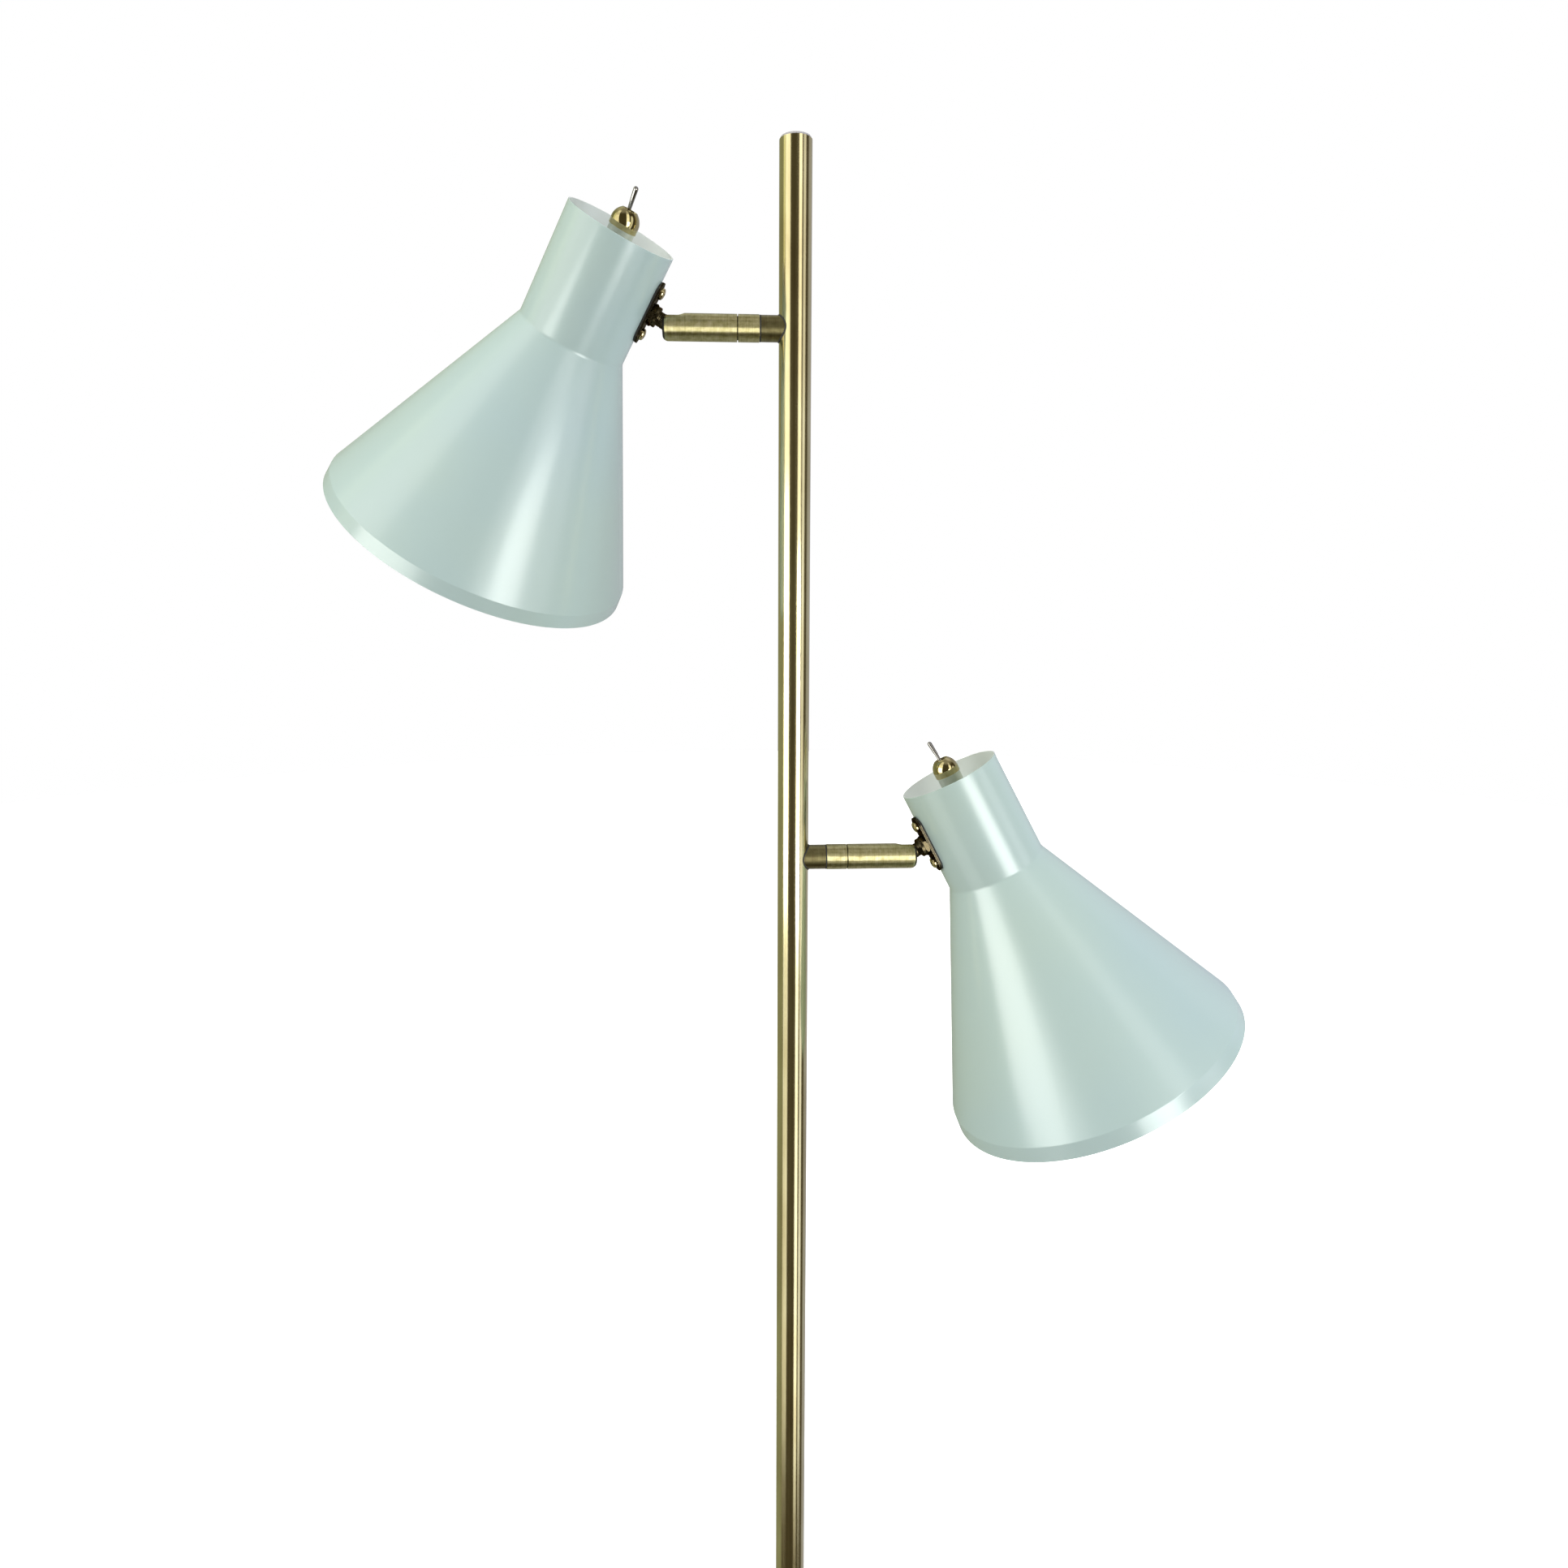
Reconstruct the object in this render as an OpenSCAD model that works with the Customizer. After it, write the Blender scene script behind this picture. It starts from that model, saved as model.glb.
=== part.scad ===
// Two-head floor lamp.  A weighted round foot carries a tube pole in two lengths.
// Two short arms stand out of the pole on opposite sides, and each holds a conical
// spot head in a slotted ball socket, with a toggle switch sunk in its top.
// Millimetres, +Z up, origin on the floor under the middle of the pole.

/* [Foot] */
// Diameter of the foot over its cover
foot_d = 250; // [200:1:320]
// Thickness of the cast weight
weight_h = 22; // [20:1:30]
// Wall of the pressed cover
cover_wall = 1.0; // [0.8:0.1:1.5]
// Thickness of the soft pad under the foot
pad_h = 2; // [1.5:0.5:4]
// Diameter of the collar at the pole's foot
collar_d = 36; // [34:1:50]
// Height of that collar
collar_h = 12; // [8:1:25]

/* [Pole] */
// Outside diameter of the tube
pole_d = 22; // [20:0.5:27]
// Wall of the tube
pole_wall = 1.2; // [0.8:0.1:1.5]
// Height of the top end of the tube
pole_top_z = 1500; // [1450:5:1850]
// Height of the joint between the two lengths
pole_joint_z = 520; // [300:5:750]
// Length of the joiner inside the tube
joiner_len = 60; // [40:5:100]
// Height that the end cap stands above the tube
cap_rise = 3; // [2:0.5:6]

/* [Arms] */
// Height of the upper arm
upper_arm_z = 1380; // [1300:5:1430]
// Height of the lower arm
lower_arm_z = 1015; // [900:5:1100]
// Length of the saddle ferrule beyond the pole's surface
ferrule_len = 12; // [9:0.5:20]
// Diameter of the saddle ferrule
ferrule_d = 17.4; // [16.5:0.1:17.8]
// Diameter of the ring and the barrel
arm_d = 18; // [18:0.5:20]
// Length of the ring
ring_len = 14.4; // [13:0.2:24]
// Length of the barrel
barrel_len = 50; // [46:1:70]
// Distance of the ball's centre inside the barrel's end
ball_inset = 7; // [6.5:0.25:8]
// Diameter of the ball
ball_d = 14.8; // [14:0.1:15.2]
// Width of the slot in the barrel
slot_w = 10.6; // [10.4:0.1:11]
// Distance the slot runs past the stem when the head stands square
slot_spare = 3; // [1:0.5:5]

/* [Pose] */
// Turn of the upper barrel about its arm
upper_turn = -8; // [-90:1:90]
// Tilt of the upper head's stem above its arm
upper_tilt = 29.5; // [0:0.5:90]
// Spin of the upper head about its stem
upper_spin = -12.5; // [-90:0.5:90]
// Turn of the lower barrel about its arm
lower_turn = -25; // [-90:1:90]
// Tilt of the lower head's stem above its arm
lower_tilt = 28.5; // [0:0.5:90]
// Spin of the lower head about its stem
lower_spin = 17; // [-90:0.5:90]

/* [Stem] */
// Thread diameter of the hollow stem
stem_d = 10; // [9:0.1:10]
// Length of bare stem between the ball's centre and its flange
stem_free = 11; // [10.5:0.25:14]
// Thickness of the flange on the stem
flange_t = 2.3; // [1.5:0.1:4]
// Diameter of the flange on the stem
flange_d = 13.8; // [12:0.1:16]
// Thickness of a stem nut
nut_t = 3.2; // [2.5:0.1:5]
// Width of a stem nut across its flats
nut_af = 13.5; // [13:0.5:17]

/* [Bracket] */
// Length of the bracket plate
plate_len = 43; // [40:0.5:50]
// Width of the bracket plate
plate_w = 14; // [13:0.5:16]
// Thickness of the bracket plate
plate_t = 1.5; // [1:0.1:2]
// Thickness of the gasket at its middle
gasket_t = 0.7; // [0.5:0.1:1.5]
// Spacing of the two plate screws
screw_pitch = 29; // [27:0.5:31]
// Head diameter of a plate screw
screw_head_d = 8; // [7:0.1:8.5]

/* [Shade] */
// Diameter of the neck
neck_d = 74; // [68:1:92]
// Length of the neck
neck_len = 76.5; // [70:0.5:92]
// Diameter at the crease above the lip
crease_d = 220; // [170:1:265]
// Length of the cone along its axis
cone_len = 152; // [130:1:190]
// Diameter of the lip's open edge
lip_d = 222; // [172:1:268]
// Height of the lip
lip_len = 10; // [6:0.5:16]
// Wall of the shade
shade_wall = 1.0; // [0.7:0.1:1.2]
// Distance of the stem below the neck's open top
stem_drop = 36.5; // [36:0.5:45]
// Depth of the cap disc below the neck's open top
cap_depth = 16; // [14:0.5:16]

/* [Switch] */
// Diameter of the collar under the dome nut
switch_collar_d = 17.6; // [15:0.1:20]
// Diameter of the dome nut
dome_d = 18.8; // [16:0.1:22]
// Height of the dome nut
dome_h = 12.3; // [11:0.1:15]
// Length of the toggle lever above its pivot
lever_len = 23.4; // [18:0.2:30]
// Angle of the lever to either side
lever_throw = 12; // [8:1:15]
// Clocking of the upper switch in its hole
upper_switch_clock = -20; // [-30:1:30]
// Clocking of the lower switch in its hole
lower_switch_clock = 8; // [-30:1:30]

/* [Lamp] */
// Diameter of the lamp holder
holder_d = 40; // [36:1:46]
// Length of the lamp holder
holder_len = 46; // [40:1:56]
// Diameter of the bulb's glass
bulb_d = 60; // [45:1:64]
// Length of the bulb beyond its cap
bulb_len = 83; // [74:1:95]

/* [Hidden] */
$fn = 96;
FACES = 32;            // facets used on small round parts
fit = 0.05;            // radial running clearance of a shaft in its bore
play = 0.15;           // clearance of the ball in its socket
touch = 0.03;          // gap left between curved faces that rest on each other

pole_r = pole_d / 2;
bore_r = pole_r - pole_wall;
foot_r = foot_d / 2;
weight_r = foot_r - 4;
cover_top_z = pad_h + weight_h + cover_wall;

// Foot fixing: an M10 tube through the weight, with its nut in a recess underneath
m10_r = 5;
m10_bore = 3.75;
recess_r = 20;
recess_h = weight_h - 6;
recess_top_z = pad_h + recess_h;
base_washer_t = 2;
base_nut_t = 5;
insert_len = 26;
channel_w = 9;
channel_h = 9.5;
lead_r = 2.7;          // sheathed mains lead inside the lamp
lead_z = pad_h + 0.6 + lead_r;
grommet_r = 6;
inlet_z = pad_h + grommet_r;
branch_r = 1.8;        // light lead to each head

// Stations along an arm, measured from the pole's axis
ferrule_x = pole_r + ferrule_len;
washer_t = 0.8;
washer_run = 0.2;
ring_x = ferrule_x + washer_t + washer_run;
ring_end_x = ring_x + ring_len;
ring_groove = 0.6;
barrel_x = ring_end_x + ring_groove;
barrel_end_x = barrel_x + barrel_len;
ball_x = barrel_end_x - ball_inset;
arm_r = arm_d / 2;
barrel_bore_r = arm_r - 1.2;
ball_r = ball_d / 2;
seat_r = ball_r + play;
stem_r = stem_d / 2;
mouth_r = stem_r + 0.6;
slot_r = slot_w / 2;
end_round = 4;
ring_floor = 3;        // thickness of the ring's end wall
lock_nut_t = 4;
spigot_len = 6;
spigot_r = barrel_bore_r - 0.1;
ring_bore_r = spigot_r - 1.3;
nipple_in_x = bore_r - 5.2;
nipple_out_x = ring_x + ring_floor + 0.3 + lock_nut_t + 1;
stop_r = (m10_r + ferrule_d / 2) / 2;
stop_pin_r = 0.9;
stop_depth = 1.4;
turn_limit = 90;
seat_back_x = ball_x - 12;
seat_front_x = ball_x - 5.5;
spring_wire = 1.3;
spring_turns = 7;
spring_x0 = barrel_x + spigot_len;
spring_x1 = seat_back_x;
spring_r = barrel_bore_r - 0.5 - spring_wire / 2;

// Stations along a stem, measured from the ball's centre
nut_x = stem_free + flange_t;
plate_x = nut_x + nut_t + 0.1;
gasket_x = plate_x + plate_t;
neck_x = gasket_x + gasket_t;
neck_r = neck_d / 2;
shade_x = neck_x + neck_r;
neck_in_r = neck_r - shade_wall;
leg_t = 1.5;
leg_w = plate_w;
leg_x = shade_x - sqrt(pow(neck_in_r, 2) - pow(leg_w / 2, 2)) + 0.1;
inner_nut_x = leg_x + leg_t + 0.1;
stem_end_x = inner_nut_x + nut_t + 1;
stem_bore_r = 3;
screw_r = 2;
screw_head_h = 3;
screw_end_x = leg_x + leg_t + 3;

// Heights in a head, measured from the stem's axis along the shade's axis
top_z = stem_drop;
cap_z = top_z - cap_depth;
cap_t = 1.2;
leg_top_z = cap_z - cap_t - 0.8;
shelf_z = -21;
shelf_t = 1.5;
spigot_r_holder = 5;
holder_top_z = shelf_z;
holder_r = holder_d / 2;
bulb_cap_r = 13.1;
bulb_cap_len = 27;
holder_bore_r = bulb_cap_r + 0.35;
bulb_r = bulb_d / 2;
cap_contact_z = holder_top_z - (holder_len - bulb_cap_len) + 1;
glass_z = cap_contact_z - bulb_cap_len;
switch_w = 16;
switch_l = 27;
switch_h = 19;
lug_len = 5;
lug_y = 9;
switch_top_z = cap_z - cap_t;
bushing_r = 5.9;
bushing_top = 6;
pivot_h = 4;
lever_tip_r = 1.6;
lever_root_r = 1.15;

BRASS = "#8d7d4d";
DARK_BRASS = "#5b4a33";
MINT = "#b4cfc4";
STEEL = "#9a9a98";
IRON = "#4a4a4c";
BLACK = "#1c1c1c";
WHITE = "#ece9e2";

// ---------------------------------------------------------------- frames

// Arm frame: X points out of the pole along the arm.
module upper_arm() { translate([0, 0, upper_arm_z]) rotate([0, 0, 180]) children(); }
module lower_arm() { translate([0, 0, lower_arm_z]) children(); }
module both_arms() { upper_arm() children(); lower_arm() children(); }

// Barrel frame: as the arm frame, turned about the arm.
module upper_barrel() { upper_arm() rotate([upper_turn, 0, 0]) children(); }
module lower_barrel() { lower_arm() rotate([lower_turn, 0, 0]) children(); }

// Head frame: origin at the ball's centre, X along the stem, Z up the shade's axis.
module upper_head() {
    upper_barrel() translate([ball_x, 0, 0])
        rotate([0, -upper_tilt, 0]) rotate([upper_spin, 0, 0]) children();
}
module lower_head() {
    lower_barrel() translate([ball_x, 0, 0])
        rotate([0, -lower_tilt, 0]) rotate([lower_spin, 0, 0]) children();
}

// ---------------------------------------------------------------- helpers

// A round bar along X from x0 to x1.
module bar(x0, x1, r, f = FACES) {
    translate([x0, 0, 0]) rotate([0, 90, 0]) cylinder(r = r, h = x1 - x0, $fn = f);
}

// A tube along X.
module tube(x0, x1, r, bore) {
    difference() {
        bar(x0, x1, r);
        bar(x0 - 1, x1 + 1, bore);
    }
}

// A solid turned about X from an outline of [x, radius] points.
module turned(outline) {
    rotate([0, 90, 0]) rotate_extrude($fn = FACES * 2)
        polygon([for (p = outline) [p[1], p[0]]]);
}

function unit(v) = v / norm(v);

// Unit normal on the left of the line from a to b.
function left_of(a, b) = unit([a[1] - b[1], b[0] - a[0]]);

// An open outline moved sideways by d, with its corners mitred.
function shifted(p, d) = [for (i = [0 : len(p) - 1])
    let (m = i == 0 ? left_of(p[0], p[1]) : left_of(p[i - 1], p[i]),
         n = i == len(p) - 1 ? m : left_of(p[i], p[i + 1]))
    p[i] + d * (m + n) / (1 + m * n)];

// An arc of radius r that replaces the corner b of the line a, b, c.
function rounded(a, b, c, r, steps = 6) =
    let (u = unit(a - b), v = unit(c - b), half = acos(u * v) / 2,
         mid = b + unit(u + v) * r / sin(half), e1 = unit(b + u * r / tan(half) - mid),
         sweep = 180 - 2 * half)
    [for (i = [0 : steps]) mid + r * (e1 * cos(sweep * i / steps) - u * sin(sweep * i / steps))];

// A line whose inner corners are all rounded, each to its own radius.
function rounded_line(p, radii) = concat([p[0]],
    [for (i = [1 : len(p) - 2]) each rounded(p[i - 1], p[i], p[i + 1], radii[i - 1])],
    [p[len(p) - 1]]);

// A round wire swept along a path. The path may not run along the direction given.
module wire(path, r, across, sides = 12) {
    n = len(path);
    points = [for (i = [0 : n - 1])
        let (t = unit(path[min(i + 1, n - 1)] - path[max(i - 1, 0)]),
             u = unit(across - (across * t) * t), v = cross(t, u))
        for (k = [0 : sides - 1])
            path[i] + r * (u * cos(360 * k / sides) + v * sin(360 * k / sides))];
    last = (n - 1) * sides;
    side_faces = [for (i = [0 : n - 2], k = [0 : sides - 1])
        let (a = i * sides + k, b = i * sides + (k + 1) % sides, c = a + sides, d = b + sides)
        each [[a, c, b], [b, c, d]]];
    end_faces = [for (k = [1 : sides - 2]) each [[0, k, k + 1], [last, last + k + 1, last + k]]];
    polyhedron(points = points, faces = concat(side_faces, end_faces), convexity = 8);
}

// A flat bar with round ends, lying across X, long side along Z.
module stadium(x0, x1, length, width) {
    bar(x0, x1, width / 2, 64);
    translate([0, 0, (length - width) / 2]) bar(x0, x1, width / 2, 64);
    translate([0, 0, (width - length) / 2]) bar(x0, x1, width / 2, 64);
    translate([x0, -width / 2, (width - length) / 2]) cube([x1 - x0, width, length - width]);
}

// A hexagon nut along X with chamfered corners.
module hex_nut(x0, x1, flats, bore) {
    corner = flats / 2 / cos(30);
    difference() {
        intersection() {
            translate([x0, 0, 0]) rotate([0, 90, 0]) cylinder(r = corner, h = x1 - x0, $fn = 6);
            turned([[x0, 0], [x0, flats / 2], [x0 + corner - flats / 2, corner],
                    [x1 - corner + flats / 2, corner], [x1, flats / 2], [x1, 0]]);
        }
        bar(x0 - 1, x1 + 1, bore);
    }
}

// ---------------------------------------------------------------- foot

module base_pad() {
    color(BLACK) cylinder(r = weight_r - 1, h = pad_h);
}

module base_weight() {
    color(IRON) difference() {
        translate([0, 0, pad_h]) cylinder(r = weight_r, h = weight_h);
        translate([0, 0, pad_h - 1]) cylinder(r = recess_r, h = recess_h + 1);
        cylinder(r = m10_r + 0.3, h = cover_top_z);
        translate([-channel_w / 2, 0, pad_h - 1])
            cube([channel_w, weight_r + 1, channel_h + 1]);
    }
}

module base_cover() {
    round_r = 4;
    skirt_z = 1;
    inner = foot_r - cover_wall;
    color(BRASS) difference() {
        rotate_extrude($fn = 180) polygon(concat(
            [[m10_r + 0.3, cover_top_z - cover_wall]],
            rounded([0, cover_top_z - cover_wall], [inner, cover_top_z - cover_wall],
                    [inner, 0], round_r - cover_wall),
            [[inner, skirt_z], [foot_r, skirt_z]],
            rounded([foot_r, 0], [foot_r, cover_top_z], [0, cover_top_z], round_r),
            [[m10_r + 0.3, cover_top_z]]));
        translate([0, foot_r - 6, inlet_z]) rotate([-90, 0, 0]) cylinder(r = grommet_r - 1, h = 12);
    }
}

module base_washer() {
    color(STEEL) translate([0, 0, recess_top_z - base_washer_t]) difference() {
        cylinder(r = 15, h = base_washer_t);
        translate([0, 0, -1]) cylinder(r = m10_r + 0.3, h = base_washer_t + 2);
    }
}

module base_nut() {
    top = recess_top_z - base_washer_t;
    color(STEEL) rotate([0, -90, 0]) hex_nut(top - base_nut_t, top, 17, m10_r + touch);
}

module base_nipple() {
    low = recess_top_z - base_washer_t - base_nut_t - 0.5;
    color(STEEL) translate([0, 0, low]) difference() {
        cylinder(r = m10_r, h = cover_top_z + insert_len - low);
        translate([0, 0, -1]) cylinder(r = m10_bore, h = cover_top_z + insert_len);
    }
}

module cord_grommet() {
    y0 = foot_r - cover_wall - 2;
    color(BLACK) translate([0, y0, inlet_z]) rotate([-90, 0, 0]) rotate_extrude($fn = 48)
        polygon([[lead_r + 0.6, 0], [grommet_r, 0], [grommet_r, 1.8],
                 [grommet_r - 1 - touch, 1.8], [grommet_r - 1 - touch, cover_wall + 2.2],
                 [grommet_r - 0.2, cover_wall + 2.2], [grommet_r - 0.6, cover_wall + 4],
                 [lead_r + 0.6, cover_wall + 4]]);
}

module pole_collar() {
    color(BRASS) translate([0, 0, cover_top_z]) rotate_extrude($fn = FACES * 3)
        polygon(concat([[pole_r + touch, 0], [collar_d / 2, 0]],
                       rounded([collar_d / 2, 0], [collar_d / 2, collar_h],
                               [pole_r, collar_h], 3),
                       [[pole_r + touch, collar_h]]));
}

module pole_foot_insert() {
    color(STEEL) translate([0, 0, cover_top_z]) difference() {
        cylinder(r = bore_r - touch, h = insert_len);
        translate([0, 0, -1]) cylinder(r = m10_r + touch, h = insert_len + 2);
    }
}

// ---------------------------------------------------------------- pole

module pole_tube(z0, z1) {
    translate([0, 0, z0]) difference() {
        cylinder(r = pole_r, h = z1 - z0);
        translate([0, 0, -1]) cylinder(r = bore_r, h = z1 - z0 + 2);
    }
}

module pole_lower() { color(BRASS) pole_tube(cover_top_z, pole_joint_z); }

module pole_upper() {
    color(BRASS) difference() {
        pole_tube(pole_joint_z, pole_top_z);
        both_arms() bar(bore_r - 3, pole_r + 3, m10_r + 0.2);
    }
}

module pole_joiner() {
    color(STEEL) translate([0, 0, pole_joint_z - joiner_len / 2]) difference() {
        cylinder(r = bore_r - touch, h = joiner_len);
        translate([0, 0, -1]) cylinder(r = bore_r - 3, h = joiner_len + 2);
    }
}

module pole_end_cap() {
    stem_len = 14;
    edge_r = pole_r - 0.7;
    color(WHITE) translate([0, 0, pole_top_z]) rotate_extrude($fn = FACES * 3)
        polygon(concat([[0, -2], [bore_r - 2.2, -2], [bore_r - 2.2, -stem_len],
                        [bore_r - touch, -stem_len], [bore_r - touch, 0], [edge_r, 0],
                        [edge_r, cap_rise * 0.4]],
                       [for (i = [1 : 8]) [edge_r * cos(90 * i / 8),
                        cap_rise * (0.4 + 0.6 * sin(90 * i / 8))]]));
}

// The lead from the foot to the connector, and one branch from there to each arm.
module pole_wiring() {
    block_low = lower_arm_z - 110;
    block_top = block_low + 32;
    end_x = ferrule_x - 8;
    color(BLACK) {
        wire(rounded_line([[0, foot_r - cover_wall - 2.5, inlet_z], [0, 0, lead_z],
                           [0, 0, block_low - 0.1]], [7]), lead_r, [1, 0, 0]);
        wire(rounded_line([[-4, 0, block_top + 0.1], [-4, 0, lower_arm_z],
                           [end_x, 0, lower_arm_z]], [8]), branch_r, [0, 1, 0]);
        wire(rounded_line([[-1, 4.6, block_top + 0.1], [-1, 4.6, lower_arm_z + 60],
                           [4, 0, upper_arm_z - 60], [4, 0, upper_arm_z], [-end_x, 0, upper_arm_z]],
                          [100, 100, 8]), branch_r, [0, 1, 0]);
    }
}

module connector_block() {
    size = [13, 12, 32];
    color(WHITE) difference() {
        translate([-size[0] / 2, -size[1] / 2, lower_arm_z - 110]) cube(size);
        for (x = [-3, 3], z = [8, 24])
            translate([x, -size[1], lower_arm_z - 110 + z]) rotate([-90, 0, 0])
                cylinder(r = 1.6, h = size[1], $fn = 24);
    }
}

// ---------------------------------------------------------------- arm roots

// Saddle ferrules, each with a small stop pin standing out of its outer face.
module arm_ferrules() {
    color(DARK_BRASS) both_arms() {
        difference() {
            bar(0, ferrule_x, ferrule_d / 2, 64);
            bar(-1, ferrule_x + 1, m10_r + touch);
            translate([0, 0, -20]) cylinder(r = pole_r + touch, h = 40);
        }
        translate([0, 0, stop_r]) bar(ferrule_x - 2, ring_x + stop_depth - 0.3, stop_pin_r);
    }
}

module arm_nipples() {
    color(STEEL) both_arms() tube(nipple_in_x, nipple_out_x, m10_r, m10_bore);
}

module arm_pole_nuts() {
    color(STEEL) both_arms() difference() {
        intersection() {
            bar(nipple_in_x + 0.6, bore_r, 7.5);
            translate([0, 0, -10]) cylinder(r = bore_r - touch, h = 20);
        }
        bar(0, bore_r + 1, m10_r + touch);
    }
}

module arm_washers() {
    color(BLACK) both_arms() difference() {
        bar(ferrule_x, ferrule_x + washer_t, ferrule_d / 2 - 0.8);
        bar(ferrule_x - 1, ferrule_x + 2, m10_r + 0.1);
        translate([0, 0, stop_r]) bar(ferrule_x - 1, ferrule_x + 2, stop_pin_r + 0.1);
    }
}

module arm_lock_nuts() {
    x0 = ring_x + ring_floor + 0.3;
    color(STEEL) both_arms() difference() {
        bar(x0, x0 + lock_nut_t, ring_bore_r - 0.4);
        bar(x0 - 1, x0 + lock_nut_t + 1, m10_r + touch);
        for (a = [0, 90]) rotate([a, 0, 0])
            translate([x0 + lock_nut_t - 1, -8, -0.8]) cube([2, 16, 1.6]);
    }
}

// ---------------------------------------------------------------- arm parts

// The ring turns on the nipple. A groove in its face runs over the stop pin.
module arm_ring() {
    spread = turn_limit + asin((stop_pin_r + 0.1) / stop_r);
    color(BRASS) difference() {
        turned([[ring_x, m10_r + fit], [ring_x, arm_r - 0.3], [ring_x + 0.3, arm_r],
                [ring_end_x - 0.2, arm_r], [ring_end_x, arm_r - 0.2],
                [ring_end_x, spigot_r], [barrel_x + spigot_len, spigot_r],
                [barrel_x + spigot_len, ring_bore_r], [ring_x + ring_floor, ring_bore_r],
                [ring_x + ring_floor, m10_r + fit]]);
        translate([ring_x - 1, 0, 0]) rotate([0, 90, 0])
            rotate([0, 0, 180 - spread]) rotate_extrude(angle = 2 * spread, $fn = FACES * 2)
                translate([stop_r - stop_pin_r - 0.15, 0])
                    square([2 * stop_pin_r + 0.3, 1 + stop_depth]);
    }
}

// The barrel holds the ball behind its rounded mouth. A slot in its side lets the
// stem swing up until the head stands square to the arm.
module arm_barrel() {
    lip_x = ball_x + sqrt(pow(seat_r, 2) - pow(mouth_r, 2));
    round_x = barrel_end_x - end_round;
    mouth_out = mouth_r + 0.5;
    socket = [for (i = [0 : 8])
        let (r = barrel_bore_r > seat_r ? seat_r : barrel_bore_r,
             a0 = 90, a1 = asin(mouth_r / seat_r), a = a0 + (a1 - a0) * i / 8)
        [ball_x + seat_r * cos(a), r * sin(a) / sin(a0)]];
    outer_round = [for (i = [0 : 8])
        let (a = 90 * i / 8, x = round_x + end_round * sin(a),
             r = arm_r - end_round + end_round * cos(a))
        if (r > mouth_out + 0.05) [x, r]];
    color(BRASS) difference() {
        turned(concat([[barrel_x, barrel_bore_r], [barrel_x, arm_r - 0.2],
                       [barrel_x + 0.2, arm_r]],
                      outer_round, [[barrel_end_x - 0.3, mouth_out], [lip_x, mouth_r]],
                      [for (i = [len(socket) - 1 : -1 : 0]) socket[i]],
                      [[ball_x, barrel_bore_r]]));
        translate([ball_x - slot_r - slot_spare + slot_r, 0, 0]) cylinder(r = slot_r, h = 20, $fn = 64);
        translate([ball_x - slot_spare, -slot_r, 0]) cube([30, slot_w, 20]);
    }
}

// Compression spring: one round wire wound round the arm's axis, ends closed up.
module ball_spring() {
    per_turn = 12;
    closed = 1.05 * spring_wire;
    span = spring_x1 - spring_x0 - spring_wire;
    open = (span - 2 * closed) / (spring_turns - 2);
    color(STEEL) wire([for (i = [0 : spring_turns * per_turn])
        let (t = i / per_turn, a = 360 * t,
             rise = t < 1 ? closed * t : t > spring_turns - 1 ? span - closed * (spring_turns - t)
                    : closed + open * (t - 1))
        [spring_x0 + spring_wire / 2 + rise, spring_r * cos(a), spring_r * sin(a)]],
        spring_wire / 2, [1, 0, 0], 6);
}

module ball_seat() {
    color(BLACK) difference() {
        bar(seat_back_x, seat_front_x, barrel_bore_r - 0.15, 64);
        translate([ball_x, 0, 0]) sphere(r = seat_r);
        bar(seat_back_x - 1, seat_front_x + 1, branch_r + 0.4);
    }
}

module arm_lead() {
    color(BLACK) bar(ferrule_x - 7.6, ball_x - ball_r - 0.6, branch_r);
}

// ---------------------------------------------------------------- head parts

// Ball and hollow threaded stem in one piece, with a flange that backs the nut.
module ball_stem() {
    groove = 0.3;
    pitch = 1.15;
    grooves = 3;
    first = stem_free - grooves * pitch;
    thread = [for (i = [0 : grooves - 1])
        each [[first + i * pitch, stem_r], [first + (i + 0.5) * pitch, stem_r - groove]]];
    shoulder = sqrt(pow(ball_r, 2) - pow(stem_r, 2));
    back = -sqrt(pow(ball_r, 2) - pow(stem_bore_r + 1.2, 2));
    ball = [for (i = [0 : 16])
        let (a0 = atan2(stem_bore_r + 1.2, back), a1 = atan2(stem_r, shoulder),
             a = a0 + (a1 - a0) * i / 16)
        [ball_r * cos(a), ball_r * sin(a)]];
    color(DARK_BRASS) turned(concat(
        [[back + 2, stem_bore_r]], ball, thread,
        [[stem_free, stem_r], [stem_free, flange_d / 2 - 0.3], [stem_free + 0.3, flange_d / 2],
         [nut_x - 0.3, flange_d / 2], [nut_x, flange_d / 2 - 0.3], [nut_x, stem_r],
         [stem_end_x - 0.5, stem_r], [stem_end_x, stem_r - 0.5], [stem_end_x, stem_bore_r]]));
}

module stem_nuts() {
    color(DARK_BRASS) {
        hex_nut(nut_x + touch, nut_x + nut_t, nut_af, stem_r + touch);
        hex_nut(inner_nut_x, inner_nut_x + nut_t, nut_af, stem_r + touch);
    }
}

module bracket_plate() {
    color(DARK_BRASS) difference() {
        stadium(plate_x, gasket_x, plate_len, plate_w);
        bar(plate_x - 1, gasket_x + 1, stem_r + fit);
        for (s = [-1, 1]) translate([0, 0, s * screw_pitch / 2])
            bar(plate_x - 1, gasket_x + 1, screw_r + 0.2);
    }
}

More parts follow.
